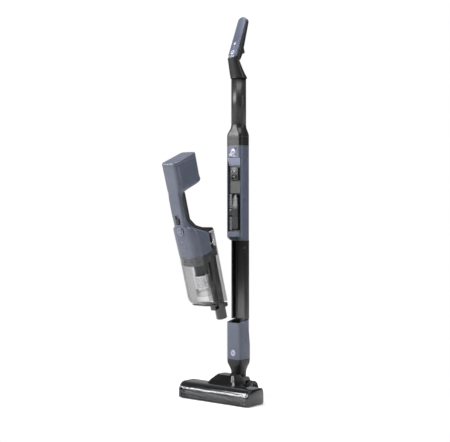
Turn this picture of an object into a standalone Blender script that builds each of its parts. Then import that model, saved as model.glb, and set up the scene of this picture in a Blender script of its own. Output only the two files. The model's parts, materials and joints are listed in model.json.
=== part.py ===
"""Cordless stick vacuum: floor head, stick with a docking holder, and a detached handheld cleaner.

Metres, +Z up, -Y is the front. The origin is the middle of the flat pad under the floor head.
"""
import math

import bmesh
import bpy
from mathutils import Matrix, Vector

MM = 0.001
GAP = 0.3 * MM                      # air between pieces that touch or seat on each other
RUNNING = 0.08 * MM                 # radial air round an axle

# Floor head
HEAD_WIDTH = 250 * MM
HEAD_FRONT = -61 * MM               # front lip, ahead of the origin
HEAD_BACK = 13 * MM
HEAD_TOP = 46 * MM
END_CAP = 8 * MM                    # thickness of each end cap
SOLE = 5.5 * MM                     # thickness of the sole plate
SOLE_LIP = 4.5 * MM                 # sole in front of the brush opening
SOLE_RIM = 3 * MM                   # sole at each end of it
BRUSH_RADIUS = 18.5 * MM
CHAMBER_GAP = 2.2 * MM              # between the bristles and the chamber wall
BRUSH_LIFT = 1.5 * MM               # bristles above the floor
CORE_RADIUS = 12 * MM
AXLE_RADIUS = 3 * MM
WINDOW_TOP = 33 * MM
MOTOR_RADIUS = 10 * MM
BELT_WIDTH = 6 * MM
BELT_THICKNESS = 1.2 * MM
ROLL_PULLEY_RADIUS = 9 * MM
MOTOR_PULLEY_RADIUS = 5 * MM

# Neck and wheels
STICK_Y = 60 * MM                   # the stick's axis behind the origin
WHEEL_RADIUS = 24 * MM
WHEEL_WIDTH = 13 * MM
WHEEL_Y = 70 * MM
TREAD = 2 * MM                      # rounding of the tyre's edges
ARM = 4 * MM                        # thickness of each axle arm
ARM_INSIDE = 29 * MM                # clear half-width between the arms
KNUCKLE_RADIUS = 16 * MM
HOOD_TOP = 70 * MM
HOOD_BACK = 34 * MM
NECK_RADIUS = 22 * MM

# Stick, from the floor up
STICK_WIDTH = 54 * MM
STICK_FRONT = 25.5 * MM             # front face ahead of the stick's axis
STICK_BACK = 19.5 * MM
CORNER = 9 * MM
NECK_BOTTOM = 67 * MM
SHROUD_BOTTOM = NECK_BOTTOM + 43 * MM
SHROUD_LIP = SHROUD_BOTTOM + 105 * MM       # front edge of the socket
SHROUD_REAR = SHROUD_LIP + 9 * MM           # rear edge of the socket
SHROUD_BULGE = 5 * MM                       # the shroud's back stands out at its foot
WALL = 2.5 * MM
SOCKET_RADIUS = 18 * MM
SOCKET_SHIFT = 2 * MM                       # the socket's centre ahead of the stick's axis
AIR_RADIUS = 13 * MM
RAIL_LENGTH = 228 * MM
RAIL_TOP = SHROUD_REAR + RAIL_LENGTH
RAIL_WIDTH = 51 * MM
RAIL_FRONT = 3 * MM
RAIL_WALL = 5.5 * MM
SPINE = 3.5 * MM
HOLDER_LENGTH = 240 * MM
HOLDER_LEDGE = RAIL_TOP + 13 * MM
HOLDER_TOP = RAIL_TOP + HOLDER_LENGTH
LEDGE = 13 * MM
RECESS_DEPTH = 12.5 * MM
RECESS_WIDTH = 47 * MM
PANEL = 2.5 * MM
PANEL_TOP = HOLDER_TOP - 26 * MM
POCKET_WIDTH = 41 * MM
POCKET_DEPTH = 22 * MM
POCKET_TOP = PANEL_TOP - 78 * MM
BAND_TOP = HOLDER_TOP + 34 * MM
COLLAR_TOP = BAND_TOP + 27 * MM
CONE_TOP = COLLAR_TOP + 33 * MM
TUBE_LENGTH = 135 * MM
TUBE_TOP = CONE_TOP + TUBE_LENGTH
TUBE_WIDTH = 42 * MM
TUBE_DEPTH = 40 * MM
TUBE_CORNER = 18 * MM
LOWER_BUTTON_Z = SHROUD_BOTTOM + 18 * MM
UPPER_BUTTON_Z = HOLDER_TOP + 16 * MM
BUTTON_RADIUS = 8.5 * MM
BUTTON_DEPTH = 7 * MM
BUTTON_PROUD = 1.2 * MM

# Handle
NECK_SHIFT = 24 * MM                # how far the handle neck bends forward
NECK_TOP = TUBE_TOP + 51 * MM
GRIP_LEAN = math.radians(23.3)
GRIP_LENGTH = 138 * MM
GRIP_WIDTH = 30 * MM
GRIP_DEPTH = 25 * MM
COVER_DEPTH = 8 * MM
GRIP_LIFT = 3 * MM                  # the grip's foot above its frame
NECK_TOP_DEPTH = 23 * MM
NECK_SEAT = 1.2 * MM                # the neck's slanted rim rises a little inside its wall

# Handheld cleaner, in its own frame: origin at the spout's tip, +Z along the spout, -Y to its front
CLEANER_LEAN = math.radians(16.6)
CLEANER_TIP = Vector((0, STICK_Y - 77.9 * MM, SHROUD_LIP + 19.3 * MM))
SPOUT_RADIUS = 15.5 * MM
SPOUT_WALL = 2 * MM
BIN_HALF = 40 * MM
BIN_FRONT = 94 * MM
DUCT_HALF = 20 * MM
DUCT_BACK = 20 * MM
DUCT_FRONT = 17 * MM
SHOULDER = DUCT_FRONT + BIN_HALF - DUCT_HALF + 1 * MM       # its sides slant in to the duct from here
COVER_END = 14 * MM                 # the clear cover wraps this far round the duct, above the bin
BIN_WALL = 2 * MM
COLLAR_GAP = 1.2 * MM               # round the filter collar inside the bin
BIN_TOP = 212 * MM
DUCT_TOP = BIN_TOP + 50 * MM
BIN_FOOT_FRONT = 70 * MM            # height of the slanted bin bottom at the front
BIN_FOOT_BACK = 42 * MM
DOOR = 3 * MM
FOOT_ROUND = 13 * MM                # how far the bin's front curves in at its foot
PLATE = 9 * MM                      # height of the plate round the spout, under the bin
LATCH_BEHIND = 3.5 * MM             # air between the spout and the door's latch
LATCH_LENGTH = 11 * MM
LATCH_HALF = 9 * MM
GRIP_HALF = 19.5 * MM
GRIP_FRONT = 100.5 * MM
INNER_GRIP_HALF = 16 * MM
INNER_GRIP_BACK = 68 * MM
LINING_GAP = 0.8 * MM               # between the casing and the lining of the finger gap
HEAD_HALF = 27 * MM
HEAD_NEAR = 3 * MM
HEAD_FAR = 97 * MM
HEAD_BOTTOM = DUCT_TOP + 143 * MM
HEAD_SEAM = HEAD_BOTTOM + 63 * MM
HEAD_HIGH = HEAD_SEAM + 19 * MM
HEAD_SLOPE = 9 * MM
CLEANER_BUTTON = 8.5 * MM
CLEANER_BUTTON_Z = DUCT_TOP + 26 * MM
BATTERY_WALL = 4 * MM
CYCLONE_Y = -48 * MM
CYCLONE_RADIUS = 18 * MM
CLEANER_MOTOR_RADIUS = 26 * MM

COLOURS = {
    "slate": ((0.25, 0.27, 0.35, 1), 0.38, 0.0),
    "charcoal": ((0.06, 0.06, 0.06, 1), 0.42, 0.0),
    "gloss_black": ((0.015, 0.015, 0.016, 1), 0.14, 0.0),
    "grey_panel": ((0.12, 0.12, 0.12, 1), 0.5, 0.0),
    "clear": ((0.45, 0.45, 0.46, 0.35), 0.08, 0.0),
    "rubber": ((0.03, 0.03, 0.03, 1), 0.8, 0.0),
    "bristle": ((0.12, 0.12, 0.13, 1), 0.9, 0.0),
    "steel": ((0.7, 0.7, 0.7, 1), 0.25, 1.0),
    "button": ((0.7, 0.71, 0.8, 1), 0.3, 0.0),
    "felt": ((0.8, 0.8, 0.78, 1), 0.95, 0.0),
}

parts = None
cutters = None


# ---------------------------------------------------------------- scene and materials

def clear_scene():
    for obj in list(bpy.data.objects):
        bpy.data.objects.remove(obj)


def make_collections():
    global parts, cutters
    parts = bpy.data.collections.new("stick_vacuum")
    cutters = bpy.data.collections.new("cutters")
    bpy.context.scene.collection.children.link(parts)
    bpy.context.scene.collection.children.link(cutters)


def material(name):
    found = bpy.data.materials.get(name)
    if found:
        return found
    colour, roughness, metallic = COLOURS[name]
    made = bpy.data.materials.new(name)
    made.use_nodes = True
    shader = made.node_tree.nodes["Principled BSDF"]
    shader.inputs["Base Color"].default_value = colour
    shader.inputs["Roughness"].default_value = roughness
    shader.inputs["Metallic"].default_value = metallic
    return made


def add_mesh_object(name, mesh, look, parent=None):
    obj = bpy.data.objects.new(name, mesh)
    if look:
        mesh.materials.append(material(look))
        parts.objects.link(obj)
    else:
        cutters.objects.link(obj)
        obj.hide_render = True
        obj.display_type = "WIRE"
    obj.parent = parent
    return obj


def finish_mesh(name, bm, look, parent=None):
    mesh = bpy.data.meshes.new(name)
    bmesh.ops.recalc_face_normals(bm, faces=bm.faces)
    bm.to_mesh(mesh)
    bm.free()
    mesh.shade_smooth()
    mesh.set_sharp_from_angle(angle=math.radians(35))
    return add_mesh_object(name, mesh, look, parent)


# ---------------------------------------------------------------- shapes

def rounded_outline(corners, steps=4):
    """A closed outline from (a, b, radius) corners, each corner rounded by an arc."""
    outline = []
    count = len(corners)
    for i, (a, b, radius) in enumerate(corners):
        here = Vector((a, b))
        before = Vector(corners[i - 1][:2]) - here
        after = Vector(corners[(i + 1) % count][:2]) - here
        if radius <= 0:
            outline.append(here)
            continue
        half = before.angle(after) / 2
        reach = radius / math.tan(half)
        centre = here + (before.normalized() + after.normalized()).normalized() * radius / math.sin(half)
        start = here + before.normalized() * reach - centre
        end = here + after.normalized() * reach - centre
        sweep = start.angle_signed(end)
        for step in range(steps + 1):
            turned = start.copy()
            turned.rotate(Matrix.Rotation(-sweep * step / steps, 2))
            outline.append(centre + turned)
    return outline


def box_outline(half, near, far, radius, steps=4):
    """A rounded rectangle: +-half along the first axis, near to far along the second."""
    return rounded_outline([(-half, near, radius), (half, near, radius),
                            (half, far, radius), (-half, far, radius)], steps)


def circle_outline(radius, a, b, count):
    return [Vector((a + radius * math.cos(2 * math.pi * i / count),
                    b + radius * math.sin(2 * math.pi * i / count))) for i in range(count)]


def at_height(outline, height):
    """The outline as a ring of 3-D points; height is a number or a function of (x, y)."""
    rise = height if callable(height) else lambda x, y: height
    return [Vector((p.x, p.y, rise(p.x, p.y))) for p in outline]


def loft(name, rings, look, parent=None, capped=True):
    bm = bmesh.new()
    rows = [[bm.verts.new(point) for point in ring] for ring in rings]
    for low, high in zip(rows, rows[1:]):
        for i, vert in enumerate(low):
            j = (i + 1) % len(low)
            bm.faces.new((vert, low[j], high[j], high[i]))
    if capped:
        bm.faces.new(rows[0])
        bm.faces.new(rows[-1])
    return finish_mesh(name, bm, look, parent)


def prism(name, outline, low, high, look, parent=None, along="Z"):
    """An outline pulled from low to high along an axis. Along X it lies in (y, z), along Y in (x, z)."""
    place = {"Z": lambda p, t: Vector((p.x, p.y, t)),
             "X": lambda p, t: Vector((t, p.x, p.y)),
             "Y": lambda p, t: Vector((p.x, t, p.y))}[along]
    return loft(name, [[place(p, t) for p in outline] for t in (low, high)], look, parent)


def shell(name, rings, thickness, look, parent=None):
    """An open loft given a wall that grows inward."""
    obj = loft(name, rings, look, parent, capped=False)
    solid = obj.modifiers.new("wall", "SOLIDIFY")
    solid.thickness = thickness
    solid.offset = -1
    solid.use_even_offset = True
    return obj


def box(name, low, high, look, parent=None, bevel=0.0):
    bm = bmesh.new()
    bmesh.ops.create_cube(bm, size=1)
    low, high = Vector(low), Vector(high)
    for vert in bm.verts:
        vert.co = Vector((a + (b - a) * (c + 0.5) for a, b, c in zip(low, high, vert.co)))
    obj = finish_mesh(name, bm, look, parent)
    if bevel:
        add_bevel(obj, bevel)
    return obj


def add_bevel(obj, width, segments=2, angle=40):
    bevel = obj.modifiers.new("bevel", "BEVEL")
    bevel.width = width
    bevel.segments = segments
    bevel.limit_method = "ANGLE"
    bevel.angle_limit = math.radians(angle)


def turned(name, profile, centre, look, parent=None, axis="Z", steps=28):
    """A profile of (radius, height) points turned about an axis. It runs down its outer side."""
    bm = bmesh.new()
    points = [bm.verts.new((radius, 0, height)) for radius, height in profile]
    for low, high in zip(points, points[1:] + points[:1]):
        bm.edges.new((low, high))
    mesh = bpy.data.meshes.new(name)
    bm.to_mesh(mesh)
    bm.free()
    obj = add_mesh_object(name, mesh, look, parent)
    obj.location = centre
    obj.rotation_euler = {"Z": (0, 0, 0), "X": (0, math.pi / 2, 0), "Y": (-math.pi / 2, 0, 0)}[axis]
    screw = obj.modifiers.new("turn", "SCREW")
    screw.steps = steps
    screw.render_steps = steps
    screw.use_merge_vertices = True
    screw.merge_threshold = 0.00001
    screw.use_smooth_shade = True
    return obj


def ring_piece(name, outer, inner, low, high, centre, look, parent=None, axis="Z", steps=28):
    profile = [(outer, high), (outer, low), (inner, low), (inner, high)]
    return turned(name, profile, centre, look, parent, axis, steps)


def rod(name, radius, low, high, centre, look, parent=None, axis="Z", count=28):
    """A solid cylinder from low to high along an axis through centre."""
    bm = bmesh.new()
    bmesh.ops.create_cone(bm, cap_ends=True, segments=count, radius1=radius, radius2=radius, depth=high - low)
    bmesh.ops.translate(bm, verts=bm.verts, vec=(0, 0, (low + high) / 2))
    turn = {"Z": Matrix(), "X": Matrix.Rotation(math.pi / 2, 3, "Y"),
            "Y": Matrix.Rotation(-math.pi / 2, 3, "X")}[axis]
    bmesh.ops.transform(bm, matrix=turn.to_4x4(), verts=bm.verts)
    obj = finish_mesh(name, bm, look, parent)
    obj.location = centre
    return obj


def combine(obj, others, operation):
    for other in others:
        boolean = obj.modifiers.new(operation.lower(), "BOOLEAN")
        boolean.operation = operation
        boolean.object = other


def cut(obj, *others):
    combine(obj, others, "DIFFERENCE")


def join(obj, *others):
    combine(obj, others, "UNION")


def pose_frame(name, location, tilt):
    """An empty that carries pieces modelled upright; tilt turns it about X."""
    frame = bpy.data.objects.new(name, None)
    frame.location = location
    frame.rotation_euler = (tilt, 0, 0)
    parts.objects.link(frame)
    return frame


# ---------------------------------------------------------------- floor head

BRUSH_Z = BRUSH_RADIUS + BRUSH_LIFT
CHAMBER_RADIUS = BRUSH_RADIUS + CHAMBER_GAP
BRUSH_Y = HEAD_FRONT + SOLE_LIP + CHAMBER_RADIUS
CAP_INSIDE = HEAD_WIDTH / 2 - END_CAP
HOUSING_END = CAP_INSIDE - GAP
MOTOR_Y = HEAD_BACK - WALL - MOTOR_RADIUS - 1 * MM
MOTOR_Z = SOLE + MOTOR_RADIUS + 4 * MM
BELT_X = -HOUSING_END + 2 * MM      # outer face of the belt


def head_outline(bottom=SOLE + GAP, foot_corner=1 * MM):
    return rounded_outline([(HEAD_FRONT, bottom, foot_corner), (HEAD_BACK, bottom, foot_corner),
                            (HEAD_BACK, HEAD_TOP, 12 * MM), (HEAD_FRONT, HEAD_TOP, 24 * MM)], 7)


def chamber_cutter(name, radius):
    return rod(name, radius, -HEAD_WIDTH, HEAD_WIDTH, (0, BRUSH_Y, BRUSH_Z), None, axis="X", count=40)


def make_roller_housing():
    housing = prism("roller_housing", head_outline(), -HOUSING_END, HOUSING_END, "gloss_black", along="X")
    chamber = chamber_cutter("cut_chamber", CHAMBER_RADIUS)
    mouth = box("cut_brush_mouth", (-HEAD_WIDTH, BRUSH_Y - CHAMBER_RADIUS, 0),
                (HEAD_WIDTH, BRUSH_Y + CHAMBER_RADIUS, BRUSH_Z), None)
    window = box("cut_window", (-HEAD_WIDTH, HEAD_FRONT - WALL, 0),
                 (HEAD_WIDTH, BRUSH_Y, WINDOW_TOP + GAP), None)
    bay = box("cut_motor_bay", (-HOUSING_END + BELT_WIDTH, MOTOR_Y - MOTOR_RADIUS - 1 * MM, 0),
              (HOUSING_END - WALL, HEAD_BACK - WALL, MOTOR_Z + MOTOR_RADIUS + 2 * MM), None)
    belt_bay = box("cut_belt_bay", (-HEAD_WIDTH, BRUSH_Y, 0),
                   (-HOUSING_END + BELT_WIDTH + 4 * MM, HEAD_BACK - WALL, MOTOR_Z + MOTOR_RADIUS), None)
    cut(housing, chamber, mouth, window, bay, belt_bay)


def make_front_window():
    window = prism("front_window", head_outline(), -HOUSING_END, HOUSING_END, "clear", along="X")
    chamber = chamber_cutter("cut_window_inside", CHAMBER_RADIUS)
    above = box("cut_above_window", (-HEAD_WIDTH, HEAD_FRONT - WALL, WINDOW_TOP),
                (HEAD_WIDTH, HEAD_BACK + WALL, HEAD_TOP + WALL), None)
    behind = box("cut_behind_window", (-HEAD_WIDTH, BRUSH_Y - CHAMBER_RADIUS / 2, 0),
                 (HEAD_WIDTH, HEAD_BACK + WALL, HEAD_TOP), None)
    cut(window, chamber, above, behind)


def make_sole_plate():
    outline = box_outline(HOUSING_END, HEAD_FRONT + 1 * MM, HEAD_BACK - 1 * MM, 4 * MM)
    sole = prism("sole_plate", outline, 0, SOLE, "charcoal")
    side = HOUSING_END - SOLE_RIM
    opening = box("cut_sole_opening", (-side, HEAD_FRONT + SOLE_LIP, -SOLE),
                  (side, BRUSH_Y + CHAMBER_RADIUS - 2 * MM, 2 * SOLE), None)
    cut(sole, opening)


def make_end_cap(name, side):
    inside = side * CAP_INSIDE
    outside = side * HEAD_WIDTH / 2
    cap = prism(name, head_outline(1 * MM, 4 * MM), min(inside, outside), max(inside, outside), "gloss_black",
                along="X")
    add_bevel(cap, 1.2 * MM)
    seat = rod(f"cut_{name}", 7 * MM + GAP, -END_CAP * 0.6, END_CAP * 0.6, (inside, BRUSH_Y, BRUSH_Z),
               None, axis="X")
    cut(cap, seat)


def make_bearing(name, side):
    near = side * (CAP_INSIDE + GAP)
    far = side * (CAP_INSIDE + END_CAP * 0.6 - GAP)
    ring_piece(name, 7 * MM, AXLE_RADIUS + RUNNING, min(near, far), max(near, far),
               (0, BRUSH_Y, BRUSH_Z), "steel", axis="X", steps=20)


def make_brush():
    centre = (0, BRUSH_Y, BRUSH_Z)
    far = HOUSING_END - SOLE_RIM - 1 * MM
    near = BELT_X + BELT_WIDTH + 4 * MM
    axle_end = CAP_INSIDE + END_CAP * 0.5
    rod("brush_axle", AXLE_RADIUS, -axle_end, axle_end, centre, "steel", axis="X", count=16)
    profile = [(CORE_RADIUS, far), (CORE_RADIUS, near),
               (ROLL_PULLEY_RADIUS, near), (ROLL_PULLEY_RADIUS, BELT_X),
               (AXLE_RADIUS + RUNNING, BELT_X), (AXLE_RADIUS + RUNNING, far)]
    turned("brush_core", profile, centre, "charcoal", axis="X", steps=24)
    ring_piece("brush_bristles", BRUSH_RADIUS, CORE_RADIUS + GAP, near, far, centre, "bristle",
               axis="X", steps=36)


def make_brush_motor():
    centre = (0, MOTOR_Y, MOTOR_Z)
    near = BELT_X + BELT_WIDTH + 4 * MM
    rod("brush_motor", MOTOR_RADIUS, near, near + 52 * MM, centre, "steel", axis="X", count=24)
    rod("motor_pulley", MOTOR_PULLEY_RADIUS, BELT_X, BELT_X + BELT_WIDTH, centre, "grey_panel",
        axis="X", count=20)


def belt_outline(grow):
    """The taut loop round both pulleys, from the motor's to the roll's."""
    small = Vector((MOTOR_Y, MOTOR_Z))
    large = Vector((BRUSH_Y, BRUSH_Z))
    run = large - small
    lean = math.asin((ROLL_PULLEY_RADIUS - MOTOR_PULLEY_RADIUS) / run.length)
    facing = math.atan2(run.y, run.x)
    outline = []
    for centre, radius, start, end in (
            (large, ROLL_PULLEY_RADIUS + grow, -math.pi / 2 - lean, math.pi / 2 + lean),
            (small, MOTOR_PULLEY_RADIUS + grow, math.pi / 2 + lean, 3 * math.pi / 2 - lean)):
        for step in range(11):
            angle = facing + start + (end - start) * step / 10
            outline.append(centre + radius * Vector((math.cos(angle), math.sin(angle))))
    return outline


def make_drive_belt():
    outer = belt_outline(GAP + BELT_THICKNESS)
    belt = prism("drive_belt", outer, BELT_X, BELT_X + BELT_WIDTH, "rubber", along="X")
    inner = prism("cut_belt", belt_outline(GAP), BELT_X - BELT_WIDTH, BELT_X + 2 * BELT_WIDTH, None,
                  along="X")
    cut(belt, inner)


def make_hood():
    """The cover over the neck, with the bridge and the two arms that hold the wheel axle."""
    seat = HEAD_TOP + GAP
    front = HEAD_FRONT + 32 * MM
    rings = [at_height(box_outline(52 * MM, front, HOOD_BACK, 14 * MM), seat),
             at_height(box_outline(46 * MM, front + 7 * MM, HOOD_BACK, 13 * MM), seat + 9 * MM),
             at_height(box_outline(33 * MM, front + 22 * MM, HOOD_BACK, 10 * MM), HOOD_TOP - 2 * MM),
             at_height(box_outline(31 * MM, front + 24 * MM, HOOD_BACK - 1 * MM, 9 * MM), HOOD_TOP)]
    hood = loft("neck_hood", rings, "gloss_black")
    bridge = box("join_bridge", (-ARM_INSIDE - ARM, HEAD_BACK + GAP, 10 * MM),
                 (ARM_INSIDE + ARM, HOOD_BACK - 1 * MM, seat + 4 * MM), None)
    join(hood, bridge)
    arm = rounded_outline([(HOOD_BACK - 8 * MM, 12 * MM, 2 * MM),
                           (WHEEL_Y + 11 * MM, WHEEL_RADIUS - 11 * MM, 10 * MM),
                           (WHEEL_Y + 11 * MM, WHEEL_RADIUS + 12 * MM, 10 * MM),
                           (WHEEL_Y - 4 * MM, HOOD_TOP - 10 * MM, 8 * MM),
                           (HOOD_BACK - 8 * MM, HOOD_TOP - 4 * MM, 2 * MM)])
    for side in (-1, 1):
        near, far = sorted((side * ARM_INSIDE, side * (ARM_INSIDE + ARM)))
        join(hood, prism(f"join_arm_{near:.3f}", arm, near, far, None, along="X"))
    cut(hood, rod("cut_axle_arms", AXLE_RADIUS + RUNNING, -HEAD_WIDTH, HEAD_WIDTH, (0, WHEEL_Y, WHEEL_RADIUS),
                  None, axis="X", count=16))


def make_wheels():
    centre = (0, WHEEL_Y, WHEEL_RADIUS)
    inside = ARM_INSIDE + ARM + 1 * MM
    outside = inside + WHEEL_WIDTH
    rod("wheel_axle", AXLE_RADIUS, -outside, outside, centre, "steel", axis="X", count=16)
    for name, side in (("left", -1), ("right", 1)):
        low, high = sorted((side * inside, side * outside))
        profile = [(WHEEL_RADIUS - TREAD, high), (WHEEL_RADIUS, high - TREAD), (WHEEL_RADIUS, low + TREAD),
                   (WHEEL_RADIUS - TREAD, low), (AXLE_RADIUS + RUNNING, low), (AXLE_RADIUS + RUNNING, high)]
        turned(f"wheel_{name}", profile, centre, "rubber", axis="X", steps=36)


def make_knuckle():
    """The barrel that tilts on the wheel axle, with the stem that carries the stick."""
    centre = (0, WHEEL_Y, WHEEL_RADIUS)
    half = ARM_INSIDE - 1 * MM
    knuckle = rod("tilt_knuckle", KNUCKLE_RADIUS, -half, half, centre, "charcoal", axis="X", count=32)
    top = NECK_BOTTOM - GAP
    count = 24
    rings = [at_height(circle_outline(14 * MM, 0, WHEEL_Y, count), WHEEL_RADIUS),
             at_height(circle_outline(16 * MM, 0, WHEEL_Y - 5 * MM, count), WHEEL_RADIUS + 18 * MM),
             at_height(circle_outline(NECK_RADIUS, 0, STICK_Y, count), top - 6 * MM),
             at_height(circle_outline(NECK_RADIUS, 0, STICK_Y, count), top)]
    join(knuckle, loft("join_stem", rings, None))
    cut(knuckle, rod("cut_axle_knuckle", AXLE_RADIUS + RUNNING, -HEAD_WIDTH, HEAD_WIDTH, centre, None,
                     axis="X", count=16),
        rod("cut_stem_air", 9 * MM, WHEEL_RADIUS + 14 * MM, NECK_BOTTOM + WALL, (0, STICK_Y, 0), None))


# ---------------------------------------------------------------- stick

HALF = STICK_WIDTH / 2
FRONT_Y = STICK_Y - STICK_FRONT
BACK_Y = STICK_Y + STICK_BACK


def stick_outline(half=HALF, near=FRONT_Y, far=BACK_Y, radius=CORNER):
    return box_outline(half, near, far, radius, 5)


def make_neck_collar():
    """The ribbed cone under the shroud: round below, where it swivels, and square above."""
    wide = stick_outline(far=BACK_Y + SHROUD_BULGE)
    count = len(wide)
    start = math.atan2(wide[0].y - STICK_Y, wide[0].x)
    low = [Vector((NECK_RADIUS * math.cos(start + 2 * math.pi * i / count),
                   STICK_Y + NECK_RADIUS * math.sin(start + 2 * math.pi * i / count)))
           for i in range(count)]
    rings = []
    for height, share in ((NECK_BOTTOM, 0), (NECK_BOTTOM + 9 * MM, 0.04), (NECK_BOTTOM + 20 * MM, 0.45),
                          (NECK_BOTTOM + 31 * MM, 0.92), (SHROUD_BOTTOM - GAP, 1)):
        rings.append(at_height([a.lerp(b, share) for a, b in zip(low, wide)], height))
    collar = loft("neck_collar", rings, "charcoal")
    cut(collar, rod("cut_collar_air", AIR_RADIUS - 3 * MM, NECK_BOTTOM - WALL, SHROUD_BOTTOM + WALL,
                    (0, STICK_Y, 0), None))


def socket_slope(x, y):
    """The slanted rim of the socket: low at the front, high at the rear."""
    share = (y - FRONT_Y) / (BACK_Y - FRONT_Y)
    return SHROUD_LIP + (SHROUD_REAR - SHROUD_LIP) * max(0, min(1, share))


def make_lower_shroud():
    foot = stick_outline(far=BACK_Y + SHROUD_BULGE)
    rings = [at_height(foot, SHROUD_BOTTOM), at_height(foot, SHROUD_BOTTOM + 40 * MM),
             at_height(stick_outline(), SHROUD_BOTTOM + 82 * MM),
             at_height(stick_outline(), socket_slope)]
    shroud = shell("lower_shroud", rings, WALL, "slate")
    cut(shroud, button_hole("cut_lower_button", LOWER_BUTTON_Z))


def make_socket():
    """The black funnel that takes the spout, its seal, and the air tube below it."""
    inner = stick_outline(HALF - WALL - GAP, FRONT_Y + WALL + GAP, BACK_Y - WALL - GAP, CORNER - WALL)
    foot = SHROUD_LIP - 36 * MM
    liner = loft("socket_funnel", [at_height(inner, foot),
                                   at_height(inner, lambda x, y: socket_slope(x, y) - 1.5 * MM)], "charcoal")
    mouth = turned("cut_socket_mouth", [(0, SHROUD_REAR + 10 * MM),
                                        (SOCKET_RADIUS + 4 * MM, SHROUD_REAR + 10 * MM),
                                        (SOCKET_RADIUS + 2 * MM, SHROUD_LIP - 6 * MM),
                                        (SOCKET_RADIUS, foot + 10 * MM), (0, foot + 10 * MM)],
                   (0, STICK_Y - SOCKET_SHIFT, 0), None, steps=32)
    air = rod("cut_socket_air", AIR_RADIUS, foot - 10 * MM, SHROUD_REAR, (0, STICK_Y - SOCKET_SHIFT, 0), None)
    cut(liner, mouth, air)
    ring_piece("socket_seal", SOCKET_RADIUS - GAP - 1 * MM, AIR_RADIUS, foot + 10 * MM + GAP, foot + 13 * MM,
               (0, STICK_Y - SOCKET_SHIFT, 0), "rubber")


def button_hole(name, height):
    return rod(name, BUTTON_RADIUS + GAP, -WALL, BUTTON_DEPTH, (0, FRONT_Y, height), None, axis="Y", count=28)


def make_round_button(name, height):
    """A round push button on the stick's front face."""
    centre = (0, FRONT_Y, height)
    profile = [(0, WALL - 0.5 * MM), (BUTTON_RADIUS, WALL - 0.5 * MM), (BUTTON_RADIUS, -BUTTON_PROUD * 0.4),
               (BUTTON_RADIUS - 1 * MM, -BUTTON_PROUD), (0, -BUTTON_PROUD)]
    turned(name, profile, centre, "button", axis="Y", steps=24)


def make_rail():
    """The open channel between socket and holder, and the blue spine behind it."""
    half = RAIL_WIDTH / 2
    back = BACK_Y - SPINE
    inside = half - RAIL_WALL
    floor = back - RAIL_WALL / 2
    near = STICK_Y - RAIL_FRONT
    outline = rounded_outline([(-half, back, 3 * MM), (-half, near, 1.5 * MM), (-inside, near, 1.5 * MM),
                               (-inside, floor, 6 * MM), (inside, floor, 6 * MM), (inside, near, 1.5 * MM),
                               (half, near, 1.5 * MM), (half, back, 3 * MM)], 3)
    low = SHROUD_REAR + GAP
    prism("rail_channel", outline, low, RAIL_TOP - GAP, "grey_panel")
    spine = rounded_outline([(-half, back + GAP, 1 * MM), (half, back + GAP, 1 * MM),
                             (half - 2 * MM, BACK_Y, 2 * MM), (2 * MM - half, BACK_Y, 2 * MM)], 3)
    prism("rear_spine", spine, low, RAIL_TOP - GAP, "slate")


def make_holder():
    """The casing that the cleaner docks against: a recess in front and a deeper pocket for the tool."""
    holder = prism("holder_shell", stick_outline(), RAIL_TOP, HOLDER_TOP, "slate")
    recess = box("cut_recess", (-RECESS_WIDTH / 2, FRONT_Y - WALL, HOLDER_LEDGE + LEDGE),
                 (RECESS_WIDTH / 2, FRONT_Y + RECESS_DEPTH, HOLDER_TOP - 1 * MM), None)
    pocket = box("cut_pocket", (-POCKET_WIDTH / 2, FRONT_Y, HOLDER_LEDGE + LEDGE + 3 * MM),
                 (POCKET_WIDTH / 2, FRONT_Y + POCKET_DEPTH, POCKET_TOP), None)
    below = prism("cut_below_holder", rounded_outline([(FRONT_Y - WALL, RAIL_TOP - WALL, 0),
                                                       (STICK_Y - RAIL_FRONT, RAIL_TOP - WALL, 0),
                                                       (FRONT_Y - WALL, HOLDER_LEDGE, 0)]),
                  -HALF - WALL, HALF + WALL, None, along="X")
    groove = box("cut_holder_groove", (RAIL_WALL - RAIL_WIDTH / 2, FRONT_Y - WALL, RAIL_TOP - WALL),
                 (RAIL_WIDTH / 2 - RAIL_WALL, BACK_Y - SPINE - RAIL_WALL / 2, HOLDER_LEDGE - 2 * MM), None)
    cut(holder, recess, pocket, below, groove)


def make_holder_panel():
    floor = FRONT_Y + RECESS_DEPTH - GAP
    half = RECESS_WIDTH / 2 - GAP
    low = HOLDER_LEDGE + LEDGE + GAP
    outline = rounded_outline([(-half, low, 1 * MM), (half, low, 1 * MM),
                               (half, PANEL_TOP, 1 * MM), (-half, PANEL_TOP, 1 * MM)], 2)
    panel = prism("holder_panel", outline, floor - PANEL, floor, "grey_panel", along="Y")
    opening = box("cut_panel_pocket", (-POCKET_WIDTH / 2, FRONT_Y, low + 2 * MM),
                  (POCKET_WIDTH / 2, FRONT_Y + POCKET_DEPTH, POCKET_TOP), None)
    cut(panel, opening)
    chin_back = floor
    chin = rounded_outline([(FRONT_Y + 2 * MM, HOLDER_TOP - 1.5 * MM, 0),
                            (FRONT_Y + 2 * MM, HOLDER_TOP - 5 * MM, 2 * MM),
                            (chin_back - PANEL - 1 * MM, PANEL_TOP + 1 * MM, 2 * MM),
                            (chin_back, PANEL_TOP + 1 * MM, 0),
                            (chin_back, HOLDER_TOP - 1.5 * MM, 0)], 2)
    prism("dock_chin", chin, -half, half, "slate", along="X")


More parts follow.
